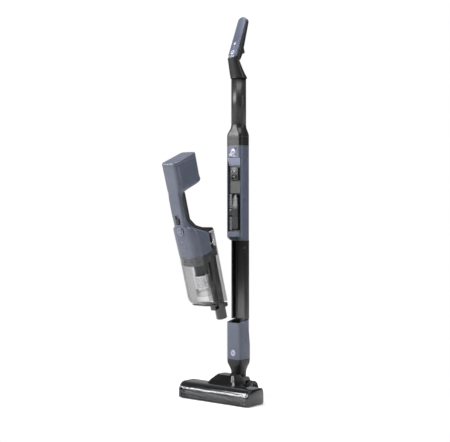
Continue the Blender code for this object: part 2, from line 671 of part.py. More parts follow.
def make_contacts():
    """The charging block and the latch tongue that holds the docked cleaner."""
    face = FRONT_Y + RECESS_DEPTH - GAP - PANEL - GAP
    high = PANEL_TOP - 3 * MM
    block = box("contact_block", (-15 * MM, face - 5 * MM, high - 38 * MM), (15 * MM, face, high),
                "charcoal", bevel=0.8 * MM)
    slot = box("cut_latch_slot", (-9 * MM, face - 8 * MM, high - 34 * MM),
               (9 * MM, face + 2 * MM, high - 22 * MM), None)
    cut(block, slot)
    box("latch_tongue", (-6 * MM, face - 6.5 * MM, high - 30 * MM), (6 * MM, face - 1 * MM, high - 24 * MM),
        "grey_panel", bevel=0.6 * MM)


TOOL_X = 3 * MM                               # middle of the stored tool
TOOL_Y = FRONT_Y + POCKET_DEPTH - 10 * MM
TOOL_LOW = HOLDER_LEDGE + LEDGE + 6 * MM
TOOL_HIGH = POCKET_TOP - 4 * MM


def make_tool():
    """The stored crevice brush: a stepped wedge body over a block of bristles, held by a clip."""
    rings = []
    for height, half, deep in ((TOOL_LOW, 11, 7), (TOOL_LOW + 40 * MM, 11, 7.5), (TOOL_LOW + 43 * MM, 12, 9),
                               (TOOL_HIGH - 30 * MM, 12, 9), (TOOL_HIGH - 27 * MM, 10.5, 8),
                               (TOOL_HIGH - 10 * MM, 10, 7.5), (TOOL_HIGH - 8 * MM, 7, 7), (TOOL_HIGH, 6, 6)):
        outline = box_outline(half * MM, TOOL_Y - deep * MM, TOOL_Y + deep * MM, 2.5 * MM, 3)
        rings.append(at_height([p + Vector((TOOL_X, 0)) for p in outline], height))
    loft("brush_tool", rings, "charcoal")
    middle = (TOOL_LOW + TOOL_HIGH) / 2
    box("tool_clip", (GAP - POCKET_WIDTH / 2, TOOL_Y - 6 * MM, middle - 10 * MM),
        (TOOL_X - 12.5 * MM, TOOL_Y + 6 * MM, middle + 10 * MM), "charcoal", bevel=1 * MM)


def make_upper_casings():
    band = prism("upper_band", stick_outline(), HOLDER_TOP + GAP, BAND_TOP, "slate")
    cut(band, button_hole("cut_upper_button", UPPER_BUTTON_Z))
    tube = box_outline(TUBE_WIDTH / 2, STICK_Y - TUBE_DEPTH / 2, STICK_Y + TUBE_DEPTH / 2,
                       TUBE_CORNER, 5)
    wide = stick_outline()
    rings = [at_height(wide, BAND_TOP + GAP), at_height(wide, COLLAR_TOP)]
    for share, blend in ((0.2, 0.1), (0.45, 0.45), (0.7, 0.85), (1, 1)):
        outline = [a.lerp(b, blend) for a, b in zip(wide, tube)]
        rings.append(at_height(outline, COLLAR_TOP + (CONE_TOP - COLLAR_TOP) * share))
    loft("tube_collar", rings, "charcoal")
    shell("upper_tube", [at_height(tube, CONE_TOP + GAP), at_height(tube, TUBE_TOP)], WALL, "charcoal")
    rod("handle_cable", 2 * MM, CONE_TOP + 1 * MM, TUBE_TOP - 1 * MM, (0, STICK_Y + 8 * MM, 0), "rubber",
        count=12)
    return tube


def make_handle_neck(tube):
    """The tube bends forward and ends in a slanted face that the grip sits on."""
    centre_y = STICK_Y - NECK_SHIFT
    top = box_outline(GRIP_WIDTH / 2, centre_y - NECK_TOP_DEPTH / 2, centre_y + NECK_TOP_DEPTH / 2,
                      11 * MM, 5)
    rings = [at_height(tube, TUBE_TOP + GAP)]
    start = TUBE_TOP + 3 * MM
    seat = GRIP_LIFT - NECK_SEAT

    def slant(x, y):
        return (seat - (y - centre_y) * math.sin(GRIP_LEAN)) / math.cos(GRIP_LEAN)

    for share in (0, 0.15, 0.4, 0.75, 1):
        base = start + (NECK_TOP - start) * share
        outline = [a.lerp(b, share) for a, b in zip(tube, top)]
        rings.append(at_height(outline, lambda x, y: base + share * slant(x, y)))
    shell("handle_neck", rings, WALL, "charcoal")


def grip_back(height):
    """How far the grip's back stands behind its middle: fullest above its foot, thin at its tip."""
    full, thin = 16 * MM, 3 * MM
    full_at = 30 * MM
    if height < full_at:
        return full - (full_at - height) * 0.1
    return full - (full - thin) * (height - full_at) / (GRIP_LENGTH - full_at)


def make_grip():
    """The grip leans back over the neck: a dark core, a blue cover, two buttons and a finger hook."""
    frame = pose_frame("grip_frame", (0, STICK_Y - NECK_SHIFT, NECK_TOP), -GRIP_LEAN)
    half = GRIP_WIDTH / 2
    front = -GRIP_DEPTH / 2
    seam = front + COVER_DEPTH

    def grip_face(inset):
        return rounded_outline([(inset - half, GRIP_LIFT, 8 * MM), (half - inset, GRIP_LIFT, 8 * MM),
                                (half - inset, GRIP_LENGTH - inset, 13 * MM),
                                (inset - half, GRIP_LENGTH - inset, 13 * MM)], 5)

    core = prism("grip_core", grip_face(0), seam + GAP, 20 * MM, "charcoal", frame, along="Y")
    heights = (0, 30 * MM, 60 * MM, 90 * MM, GRIP_LENGTH + 5 * MM)
    side = [Vector((seam, heights[0])), *[Vector((grip_back(h), h)) for h in heights],
            Vector((seam, heights[-1]))]
    combine(core, [prism("keep_grip", side, -GRIP_WIDTH, GRIP_WIDTH, None, frame, along="X")], "INTERSECT")
    add_bevel(core, 3 * MM)
    cover = prism("grip_cover", grip_face(0.6 * MM), front, seam, "slate", frame, along="Y")
    add_bevel(cover, 2.5 * MM)
    for name, radius, height in (("power_button", 6.5 * MM, 18 * MM), ("mode_button", 4 * MM, 47 * MM)):
        cut(cover, rod(f"cut_{name}", radius + GAP, -WALL, 4 * MM, (0, front, height), None, frame, axis="Y",
                       count=24))
        profile = [(0, 2.2 * MM), (radius, 2.2 * MM), (radius, -0.5 * MM), (radius - 0.8 * MM, -1 * MM),
                   (0, -1 * MM)]
        turned(name, profile, (0, front, height), "button", frame, axis="Y", steps=24)
    low, high = 34 * MM, 62 * MM
    hook = rounded_outline([(grip_back(low) + GAP, low, 1 * MM), (27 * MM, 36 * MM, 1.5 * MM),
                            (31 * MM, 41 * MM, 2 * MM), (21 * MM, 52 * MM, 12 * MM),
                            (grip_back(high) + GAP, high, 1 * MM)], 3)
    stop = prism("grip_hook", hook, -7 * MM, 7 * MM, "charcoal", frame, along="X")
    add_bevel(stop, 0.8 * MM)


# ---------------------------------------------------------------- handheld cleaner

def bin_outline(inset=0.0, shrink=0.0):
    """Section of the dust bin: wide and round in front, narrow where the inlet duct runs up its back."""
    half = BIN_HALF - inset
    duct = DUCT_HALF - inset
    front = -BIN_FRONT + inset + shrink
    right = [(duct, DUCT_BACK - inset, max(1 * MM, 8 * MM - inset)), (duct, 0.1 * MM - COVER_END, 0),
             (duct, -COVER_END - 0.1 * MM, 0), (duct, -DUCT_FRONT, 1 * MM), (half, -SHOULDER, 14 * MM),
             (half, front, 25 * MM - inset)]
    left = [(-x, y, radius) for x, y, radius in reversed(right)]
    return rounded_outline(left + right, 4)


def bin_foot(x, y):
    """The slanted bottom of the bin, level when the cleaner leans as it does here."""
    share = (DUCT_BACK - y) / (DUCT_BACK + BIN_FRONT)
    return BIN_FOOT_BACK + (BIN_FOOT_FRONT - BIN_FOOT_BACK) * share


def make_bin(frame):
    def rim(x, y):
        return DUCT_TOP - 6 * MM if y > -COVER_END else BIN_TOP

    rings = []
    for rise, shrink in ((0, FOOT_ROUND), (2 * MM, FOOT_ROUND), (6 * MM, 0.45 * FOOT_ROUND),
                         (13 * MM, 0.12 * FOOT_ROUND), (24 * MM, 0)):
        rings.append(at_height(bin_outline(shrink=shrink),
                               lambda x, y: bin_foot(x, y) + DOOR + 3 * GAP + rise))
    rings += [at_height(bin_outline(), 120 * MM), at_height(bin_outline(), BIN_TOP - 2 * MM),
              at_height(bin_outline(), rim)]
    bin_shell = shell("bin_shell", rings, BIN_WALL, "clear", frame)
    spout_hole = rod("cut_bin_spout", SPOUT_RADIUS + GAP, 0, BIN_FOOT_BACK + 26 * MM, (0, 0, 0), None, frame)
    cut(bin_shell, spout_hole)
    door = loft("bin_door", [at_height(bin_outline(shrink=FOOT_ROUND), bin_foot),
                             at_height(bin_outline(shrink=FOOT_ROUND), lambda x, y: bin_foot(x, y) + DOOR)],
                "charcoal", frame)
    clear_spout = box("cut_door_spout", (-BIN_HALF, -SPOUT_RADIUS - 3 * MM, 0),
                      (BIN_HALF, 2 * DUCT_BACK, 2 * BIN_FOOT_FRONT), None, frame)
    cut(door, clear_spout)


def make_spout(frame):
    """The inlet tube from the spout's tip up the back of the bin, with the plate under the bin."""
    spout = ring_piece("inlet_spout", SPOUT_RADIUS, SPOUT_RADIUS - SPOUT_WALL, 0, DUCT_TOP - 12 * MM,
                       (0, 0, 0), "gloss_black", frame)
    plate_low = BIN_FOOT_BACK - PLATE
    outline = box_outline(DUCT_HALF - 1 * MM, -SPOUT_RADIUS - 2 * MM, DUCT_BACK - 1 * MM, 7 * MM)
    plate = loft("join_spout_plate", [at_height(outline, plate_low),
                                      at_height(outline, lambda x, y: bin_foot(x, y) - GAP)], None, frame)
    cut(plate, rod("cut_spout_plate", SPOUT_RADIUS - SPOUT_WALL / 2, 0, BIN_FOOT_FRONT, (0, 0, 0),
                   None, frame))
    join(spout, plate)


def make_latch(frame):
    """The finger loop under the back edge of the bin door."""
    back = -SPOUT_RADIUS - LATCH_BEHIND
    front = back - LATCH_LENGTH
    low = BIN_FOOT_BACK - PLATE
    outline = box_outline(LATCH_HALF, front, back, 2 * MM, 3)
    loop = loft("door_latch", [at_height(outline, low),
                               at_height(outline, lambda x, y: bin_foot(x, y) - GAP)], "charcoal", frame)
    add_bevel(loop, 1 * MM)
    cut(loop, rod("cut_latch_finger", LATCH_LENGTH * 0.32, -BIN_HALF, BIN_HALF,
                  (0, (front + back) / 2, low + LATCH_LENGTH * 0.55), None, frame, axis="X", count=16))


def make_separator(frame):
    """Inside the bin: collar, cyclone core, steel mesh and the skirt below it."""
    collar_top = BIN_TOP - 1 * MM
    inner = bin_outline(BIN_WALL + COLLAR_GAP)
    collar = loft("bin_collar", [at_height(inner, collar_top - 26 * MM), at_height(inner, collar_top)],
                  "grey_panel", frame)
    core = (0, CYCLONE_Y, 0)
    cut(collar, rod("cut_collar_core", CYCLONE_RADIUS + GAP, 0, BIN_TOP + BIN_WALL, core, None, frame),
        rod("cut_collar_duct", SPOUT_RADIUS + GAP, 0, BIN_TOP + BIN_WALL, (0, 0, 0), None, frame))
    mesh_low, mesh_high = 112 * MM, 148 * MM
    ring_piece("cyclone_core", CYCLONE_RADIUS, CYCLONE_RADIUS - 2 * MM, mesh_high + GAP, collar_top, core,
               "charcoal", frame)
    ring_piece("filter_mesh", CYCLONE_RADIUS + 2 * MM, CYCLONE_RADIUS, mesh_low, mesh_high, core,
               "steel", frame, steps=32)
    skirt = [(CYCLONE_RADIUS + 2 * MM, mesh_low - GAP), (CYCLONE_RADIUS + 7 * MM, mesh_low - 8 * MM),
             (CYCLONE_RADIUS + 7 * MM, mesh_low - 22 * MM), (CYCLONE_RADIUS + 5 * MM, mesh_low - 22 * MM),
             (CYCLONE_RADIUS + 5 * MM, mesh_low - 9 * MM), (CYCLONE_RADIUS - 1 * MM, mesh_low - GAP)]
    turned("cyclone_skirt", skirt, core, "clear", frame)
    filter_profile = [(CYCLONE_RADIUS - 3 * MM, collar_top - 2 * MM), (CYCLONE_RADIUS - 3 * MM, mesh_high),
                      (CYCLONE_RADIUS - 9 * MM, mesh_high), (CYCLONE_RADIUS - 9 * MM, collar_top - 2 * MM)]
    turned("pleated_filter", filter_profile, core, "felt", frame)


def body_rings():
    """The blue casing's sections from the bin up over the body, the grip and the head: half-width,
    back, front, height at the back, how fast the section climbs to the front, and corner radius."""
    climb = 0.457                   # keeps the body's top level when the cleaner leans as it does here
    return [(BIN_HALF, DUCT_FRONT + GAP, BIN_FRONT, BIN_TOP + GAP, 0, 24),
            (BIN_HALF, DUCT_FRONT + GAP, BIN_FRONT + 1 * MM, BIN_TOP + 26 * MM, 0.1, 24),
            (BIN_HALF - 1.5 * MM, DUCT_FRONT + GAP, GRIP_FRONT - 1 * MM, DUCT_TOP - 7 * MM, climb, 24),
            (BIN_HALF - 5 * MM, 22 * MM, GRIP_FRONT - 0.5 * MM, DUCT_TOP + 1 * MM, climb, 22),
            (BIN_HALF - 14 * MM, 48 * MM, GRIP_FRONT, DUCT_TOP + 17 * MM, climb, 16),
            (GRIP_HALF + 2.5 * MM, 70 * MM, GRIP_FRONT + 0.5 * MM, DUCT_TOP + 35 * MM, 0.4, 11),
            (GRIP_HALF + 0.5 * MM, 83 * MM, GRIP_FRONT + 0.5 * MM, DUCT_TOP + 56 * MM, 0.25, 6),
            (GRIP_HALF, 87 * MM, GRIP_FRONT + 0.5 * MM, DUCT_TOP + 73 * MM, 0, 4),
            (GRIP_HALF, 88 * MM, GRIP_FRONT, HEAD_BOTTOM - 34 * MM, 0, 4),
            (GRIP_HALF + 1 * MM, 83 * MM, GRIP_FRONT - 1 * MM, HEAD_BOTTOM - 20 * MM, 0, 5),
            (GRIP_HALF + 2.5 * MM, 66 * MM, GRIP_FRONT - 2 * MM, HEAD_BOTTOM - 10 * MM, 0, 8),
            (HEAD_HALF - 1.5 * MM, HEAD_NEAR + 2 * MM, GRIP_FRONT - 3 * MM, HEAD_BOTTOM, 0, 11),
            (HEAD_HALF, HEAD_NEAR, HEAD_FAR, HEAD_SEAM, 0, 12)]


def climbing(height, back, climb):
    return lambda x, y: height + climb * (-y - back)


def make_casing(frame):
    rings = [at_height(box_outline(half, -front, -back, radius * MM, 4), climbing(height, back, climb))
             for half, back, front, height, climb, radius in body_rings()]
    casing = loft("cleaner_casing", rings, "slate", frame)
    motor_room = rod("cut_motor_room", CLEANER_MOTOR_RADIUS + 3 * MM, BIN_TOP - BIN_WALL, DUCT_TOP - 10 * MM,
                     (0, CYCLONE_Y - 4 * MM, 0), None, frame)
    battery_half = HEAD_HALF - BATTERY_WALL - 1 * MM
    battery_room = box("cut_battery_room", (-battery_half, BATTERY_WALL - HEAD_FAR, HEAD_BOTTOM + 3 * MM),
                       (battery_half, -HEAD_NEAR - BATTERY_WALL, HEAD_HIGH), None, frame)
    button_room = rod("cut_cleaner_button", CLEANER_BUTTON + GAP, -4 * MM, 6 * MM,
                      (0, -GRIP_FRONT, CLEANER_BUTTON_Z), None, frame, axis="Y")
    slider_room = box("cut_cleaner_slider", (-7 * MM, -GRIP_FRONT - 5 * MM, DUCT_TOP + 46 * MM),
                      (7 * MM, -GRIP_FRONT + 3 * MM, DUCT_TOP + 72 * MM), None, frame)
    cut(casing, motor_room, battery_room, button_room, slider_room)


def offset_line(points, distance):
    """The points moved sideways, to the left of the line's direction."""
    moved = []
    for i, point in enumerate(points):
        run = points[min(i + 1, len(points) - 1)] - points[max(i - 1, 0)]
        moved.append(point + Vector((-run.y, run.x)).normalized() * distance)
    return moved


def make_inner_grip(frame):
    """The dark lining of the finger gap: up the back of the grip and over the top of the body."""
    casing_back = [Vector((-back, height)) for half, back, front, height, climb, radius in body_rings()[3:10]]
    seat = offset_line(casing_back[::-1], LINING_GAP)
    cover_top = DUCT_TOP - 6 * MM + LINING_GAP
    corners = [(p.x, p.y, 0) for p in seat]
    corners += [(-COVER_END, cover_top, 0), (DUCT_BACK, cover_top, 1 * MM),
                (DUCT_BACK - 4 * MM, cover_top + 8 * MM, 6 * MM), (-20 * MM, cover_top + 18 * MM, 12 * MM),
                (-50 * MM, cover_top + 35 * MM, 14 * MM), (-INNER_GRIP_BACK, cover_top + 58 * MM, 12 * MM),
                (-INNER_GRIP_BACK, seat[0].y + 6 * MM, 0)]
    outline = rounded_outline(corners, 3)
    lining = prism("inner_grip", outline, -INNER_GRIP_HALF, INNER_GRIP_HALF, "charcoal", frame, along="X")
    add_bevel(lining, 1.2 * MM)


def make_cleaner_controls(frame):
    profile = [(0, 4 * MM), (CLEANER_BUTTON, 4 * MM), (CLEANER_BUTTON, -1 * MM),
               (CLEANER_BUTTON - 1 * MM, -2 * MM), (0, -2 * MM)]
    turned("cleaner_button", profile, (0, -GRIP_FRONT, CLEANER_BUTTON_Z), "button", frame, axis="Y", steps=24)
    box("mode_slider", (-6 * MM, -GRIP_FRONT - 3 * MM, DUCT_TOP + 48 * MM),
        (6 * MM, -GRIP_FRONT + 2.5 * MM, DUCT_TOP + 62 * MM), "charcoal", frame, bevel=1 * MM)


def make_cleaner_insides(frame):
    centre = (0, CYCLONE_Y - 4 * MM, 0)
    low = BIN_TOP + 2 * MM
    rod("suction_motor", CLEANER_MOTOR_RADIUS, low + 12 * MM, DUCT_TOP - 14 * MM, centre, "steel", frame)
    rod("impeller", CLEANER_MOTOR_RADIUS - 3 * MM, low, low + 9 * MM, centre, "grey_panel", frame)
    near, far = BATTERY_WALL + HEAD_NEAR + 1 * MM, HEAD_FAR - BATTERY_WALL - 1 * MM
    half = HEAD_HALF - BATTERY_WALL - 2 * MM
    box("battery_pack", (-half, -far, HEAD_BOTTOM + 5 * MM), (half, -near, HEAD_SEAM - GAP),
        "charcoal", frame, bevel=2 * MM)


def make_head_cap(frame):
    def top(x, y):
        share = (-y - HEAD_NEAR) / (HEAD_FAR - HEAD_NEAR)
        return HEAD_HIGH - HEAD_SLOPE * share

    full = box_outline(HEAD_HALF, -HEAD_FAR, -HEAD_NEAR, 12 * MM)
    small = box_outline(HEAD_HALF - 2 * MM, 2 * MM - HEAD_FAR, -2 * MM - HEAD_NEAR, 10 * MM)
    loft("head_cap", [at_height(full, HEAD_SEAM + GAP), at_height(full, lambda x, y: top(x, y) - 1.5 * MM),
                      at_height(small, top)], "slate", frame)


# ---------------------------------------------------------------- assembly

def make_floor_head():
    make_roller_housing()
    make_front_window()
    make_sole_plate()
    for name, side in (("left", -1), ("right", 1)):
        make_end_cap(f"end_cap_{name}", side)
        make_bearing(f"bearing_{name}", side)
    make_brush()
    make_brush_motor()
    make_drive_belt()
    make_hood()
    make_wheels()
    make_knuckle()


def make_stick():
    make_neck_collar()
    make_lower_shroud()
    make_socket()
    make_round_button("lower_button", LOWER_BUTTON_Z)
    make_rail()
    make_holder()
    make_holder_panel()
    make_contacts()
    make_tool()
    make_round_button("upper_button", UPPER_BUTTON_Z)
    make_handle_neck(make_upper_casings())
    make_grip()


def make_cleaner():
    frame = pose_frame("cleaner_frame", CLEANER_TIP, CLEANER_LEAN)
    make_bin(frame)
    make_spout(frame)
    make_latch(frame)
    make_separator(frame)
    make_casing(frame)
    make_inner_grip(frame)
    make_cleaner_controls(frame)
    make_cleaner_insides(frame)
    make_head_cap(frame)


clear_scene()
make_collections()
make_floor_head()
make_stick()
make_cleaner()
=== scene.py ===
"""Looks of the cordless stick vacuum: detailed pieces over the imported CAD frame, in metres.

The materials are made first, then the camera, the floor, the room and its lights, then the pieces.
"""
import json
import math
import random

import bmesh
import bpy
from mathutils import Matrix, Vector

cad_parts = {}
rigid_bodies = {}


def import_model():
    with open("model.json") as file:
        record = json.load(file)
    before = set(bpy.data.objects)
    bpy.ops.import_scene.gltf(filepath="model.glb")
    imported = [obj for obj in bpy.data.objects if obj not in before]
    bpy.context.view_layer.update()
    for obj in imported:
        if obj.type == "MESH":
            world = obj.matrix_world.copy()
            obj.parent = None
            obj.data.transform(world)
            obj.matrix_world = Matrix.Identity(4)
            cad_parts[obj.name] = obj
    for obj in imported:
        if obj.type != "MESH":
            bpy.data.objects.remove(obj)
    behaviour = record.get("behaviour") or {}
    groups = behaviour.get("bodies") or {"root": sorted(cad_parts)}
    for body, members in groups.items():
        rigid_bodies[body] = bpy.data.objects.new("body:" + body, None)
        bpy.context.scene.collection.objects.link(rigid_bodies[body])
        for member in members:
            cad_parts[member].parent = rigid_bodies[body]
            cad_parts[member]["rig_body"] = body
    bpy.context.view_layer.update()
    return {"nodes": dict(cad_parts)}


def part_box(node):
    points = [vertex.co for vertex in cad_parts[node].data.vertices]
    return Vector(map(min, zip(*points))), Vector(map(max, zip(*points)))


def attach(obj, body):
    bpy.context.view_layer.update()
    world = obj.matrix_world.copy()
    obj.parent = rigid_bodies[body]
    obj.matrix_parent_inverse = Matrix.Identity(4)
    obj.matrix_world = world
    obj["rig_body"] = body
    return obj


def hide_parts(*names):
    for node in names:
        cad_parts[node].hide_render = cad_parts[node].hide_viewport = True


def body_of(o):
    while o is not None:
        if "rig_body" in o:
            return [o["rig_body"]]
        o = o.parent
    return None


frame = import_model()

MM = 0.001
random.seed(7)

# Camera
CAMERA_TURN = math.radians(38)
CAMERA_DISTANCE = 2.9
CAMERA_HEIGHT = 0.55
LENS = 80
SHIFT = (-0.0304, -0.0322)

# Sizes that the looks share with the CAD
GAP = 0.3 * MM                      # air between pieces that seat on each other
WALL = 2.5 * MM
BRUSH_CENTRE = Vector((0, -35.8 * MM, 20 * MM))
BRUSH_PILE = 16.4 * MM              # radius between the tufts
TUFT = 1.8 * MM                     # how far the tufts stand above it
WHEEL_Y = 70 * MM
WHEEL_RADIUS = 24 * MM
WHEEL_INSIDE = 34.2 * MM
WHEEL_OUTSIDE = 46.8 * MM

# Stick
STICK_Y = 60 * MM
STICK_HALF = 27 * MM
STICK_FRONT_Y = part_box("holder_shell")[0][1]
STICK_BACK_Y = STICK_Y + 19.5 * MM
STICK_CORNER = 9 * MM
RAIL_SCREW_X = 22.7 * MM
BAND_TOP = 726 * MM
COLLAR_TOP = 753 * MM
CONE_TOP = 786 * MM
TUBE_TOP = 921 * MM
TUBE_HALF = 21 * MM
TUBE_DEPTH = 40 * MM
TUBE_CORNER = 18 * MM
LOWER_BUTTON_Z = 128 * MM
UPPER_BUTTON_Z = 708 * MM
BUTTON_RADIUS = 8.5 * MM

# Grip
GRIP_Y = 36 * MM
NECK_TOP = 972 * MM
GRIP_LEAN = math.radians(23.3)
GRIP_FACE = -12.5 * MM
NECK_SEAT = 1.8 * MM                # the neck's slanted rim above the grip's frame

# Cleaner, in its own frame: origin at the spout's tip, +Z along the spout, -Y to its front
CLEANER_LEAN = math.radians(16.6)
CLEANER_TIP = Vector((0, -17.9 * MM, 234.3 * MM))
BIN_HALF = 40 * MM
BIN_FRONT = 94 * MM
BIN_TOP = 212 * MM
BIN_WALL = 1.8 * MM
DUCT_HALF = 20 * MM
DUCT_BACK = 20 * MM
DUCT_FRONT = 17 * MM
DUCT_TOP = 262 * MM
COVER_END = 14 * MM
SHOULDER = 38 * MM
CYCLONE_Y = -48 * MM
MESH_RADIUS = 20 * MM
BODY_FRONT = 100.5 * MM
BODY_HALF = 19.5 * MM               # half-width of the cleaner's grip
HEAD_HALF = 27 * MM
HEAD_NEAR = 3 * MM
HEAD_FAR = 97 * MM
HEAD_CORNER = 12 * MM
HEAD_BOTTOM = 405 * MM
HEAD_SEAM = 468 * MM
HEAD_HIGH = HEAD_SEAM + 19 * MM
HEAD_SLOPE = 9 * MM


# ---------------------------------------------------------------- studio

def make_camera():
    data = bpy.data.cameras.new("camera")
    data.lens = LENS
    data.shift_x, data.shift_y = SHIFT
    camera = bpy.data.objects.new("camera", data)
    bpy.context.scene.collection.objects.link(camera)
    reach = Vector((math.sin(CAMERA_TURN), -math.cos(CAMERA_TURN), 0)) * CAMERA_DISTANCE
    camera.location = Vector((0, STICK_Y, CAMERA_HEIGHT)) + reach
    camera.rotation_euler = (math.pi / 2, 0, CAMERA_TURN)
    bpy.context.scene.camera = camera


def add_area_light(name, place, aim, size, energy, colour=(1, 1, 1)):
    data = bpy.data.lights.new(name, "AREA")
    data.shape = "RECTANGLE"
    data.size, data.size_y = size
    data.energy = energy
    data.color = colour
    light = bpy.data.objects.new(name, data)
    bpy.context.scene.collection.objects.link(light)
    light.location = place
    light.rotation_euler = (Vector(aim) - Vector(place)).to_track_quat("-Z", "Y").to_euler()


def make_floor():
    bm = bmesh.new()
    bmesh.ops.create_grid(bm, x_segments=4, y_segments=4, size=30)
    mesh = bpy.data.meshes.new("floor")
    bm.to_mesh(mesh)
    bm.free()
    floor = bpy.data.objects.new("floor", mesh)
    bpy.context.scene.collection.objects.link(floor)
    floor.location.z = -0.0005
    mesh.materials.append(plain_floor())


def make_world():
    """A white room behind the object, whose reflections are kept dark."""
    world = bpy.data.worlds.new("studio")
    bpy.context.scene.world = world
    world.use_nodes = True
    nodes, links = world.node_tree.nodes, world.node_tree.links
    coords = nodes.new("ShaderNodeTexCoord")
    dot = nodes.new("ShaderNodeVectorMath")
    dot.operation = "DOT_PRODUCT"
    dot.inputs[1].default_value = (-0.616, 0.788, 0)
    ramp = nodes.new("ShaderNodeValToRGB")
    ramp.color_ramp.elements[0].position = 0.35
    ramp.color_ramp.elements[0].color = (0.12, 0.12, 0.125, 1)
    ramp.color_ramp.elements[1].position = 0.8
    ramp.color_ramp.elements[1].color = (0.4, 0.4, 0.41, 1)
    links.new(coords.outputs["Generated"], dot.inputs[0])
    links.new(dot.outputs["Value"], ramp.inputs["Fac"])
    seen = nodes.new("ShaderNodeLightPath")
    mix = nodes.new("ShaderNodeMix")
    mix.data_type = "RGBA"
    mix.inputs["B"].default_value = (1, 1, 1, 1)
    links.new(seen.outputs["Is Camera Ray"], mix.inputs["Factor"])
    links.new(ramp.outputs["Color"], mix.inputs["A"])
    links.new(mix.outputs["Result"], nodes["Background"].inputs["Color"])
    nodes["Background"].inputs["Strength"].default_value = 1.0


def make_lights():
    add_area_light("key", (-1.9, -2.4, 1.9), (0, 0, 0.5), (1.0, 1.8), 150)
    add_area_light("top", (0.2, -0.4, 3.4), (0, 0, 0.3), (2.6, 2.6), 150)
    add_area_light("strip", (2.4, 0.9, 1.2), (0, 0, 0.5), (0.2, 1.8), 22)


# ---------------------------------------------------------------- materials

def new_material(name):
    made = bpy.data.materials.new(name)
    made.use_nodes = True
    tree = made.node_tree
    return made, tree, tree.nodes["Principled BSDF"]


def object_noise(tree, scale, detail=3.0, stretch=(1, 1, 1)):
    """Noise fixed to the object, at that many cells a metre."""
    coords = tree.nodes.new("ShaderNodeTexCoord")
    mapping = tree.nodes.new("ShaderNodeMapping")
    mapping.inputs["Scale"].default_value = stretch
    noise = tree.nodes.new("ShaderNodeTexNoise")
    noise.inputs["Scale"].default_value = scale
    noise.inputs["Detail"].default_value = detail
    tree.links.new(coords.outputs["Object"], mapping.inputs["Vector"])
    tree.links.new(mapping.outputs["Vector"], noise.inputs["Vector"])
    return noise.outputs["Fac"]


def spread(tree, value, low, high):
    """A noise value mapped from its middle band to low..high."""
    node = tree.nodes.new("ShaderNodeMapRange")
    node.inputs["From Min"].default_value = 0.3
    node.inputs["From Max"].default_value = 0.7
    node.inputs["To Min"].default_value = low
    node.inputs["To Max"].default_value = high
    tree.links.new(value, node.inputs["Value"])
    return node.outputs["Result"]


def two_tone(tree, value, colour, other):
    ramp = tree.nodes.new("ShaderNodeValToRGB")
    ramp.color_ramp.elements[0].position = 0.3
    ramp.color_ramp.elements[0].color = (*colour, 1)
    ramp.color_ramp.elements[1].position = 0.7
    ramp.color_ramp.elements[1].color = (*other, 1)
    tree.links.new(value, ramp.inputs["Fac"])
    return ramp.outputs["Color"]


def bump(tree, shader, height, strength, distance=0.0002):
    node = tree.nodes.new("ShaderNodeBump")
    node.inputs["Strength"].default_value = strength
    node.inputs["Distance"].default_value = distance
    tree.links.new(height, node.inputs["Height"])
    tree.links.new(node.outputs["Normal"], shader.inputs["Normal"])


def lighter_convex_edges(tree, base, colour, amount=0.5):
    """Lightens the colour where the surface is convex."""
    geometry = tree.nodes.new("ShaderNodeNewGeometry")
    node = tree.nodes.new("ShaderNodeMapRange")
    node.inputs["From Min"].default_value = 0.52
    node.inputs["From Max"].default_value = 0.6
    node.inputs["To Max"].default_value = amount
    tree.links.new(geometry.outputs["Pointiness"], node.inputs["Value"])
    mix = tree.nodes.new("ShaderNodeMix")
    mix.data_type = "RGBA"
    tree.links.new(node.outputs["Result"], mix.inputs["Factor"])
    tree.links.new(base, mix.inputs["A"])
    mix.inputs["B"].default_value = (*colour, 1)
    return mix.outputs["Result"]


def moulded_plastic(name, colour, roughness, grain=2600, depth=0.12, coat=0.0, smudge=0.06):
    """Moulded plastic: a fine spark-eroded grain, slow drifts of colour, and smudges in its gloss."""
    made, tree, shader = new_material(name)
    lighter = [min(1, c * 1.12 + 0.003) for c in colour]
    darker = [c * 0.9 for c in colour]
    drift = two_tone(tree, object_noise(tree, 14), darker, lighter)
    # the colour is lightened on every convex edge, by how pointed the surface is there
    edge_lightened = lighter_convex_edges(tree, drift, [min(1, c * 1.5 + 0.01) for c in colour])
    tree.links.new(edge_lightened, shader.inputs["Base Color"])
    smudges = spread(tree, object_noise(tree, 55, 6), roughness - smudge, roughness + smudge)
    tree.links.new(smudges, shader.inputs["Roughness"])
    bump(tree, shader, object_noise(tree, grain, 1), depth)
    shader.inputs["Coat Weight"].default_value = coat
    shader.inputs["Coat Roughness"].default_value = 0.08
    shader.inputs["Specular IOR Level"].default_value = 0.35
    return made


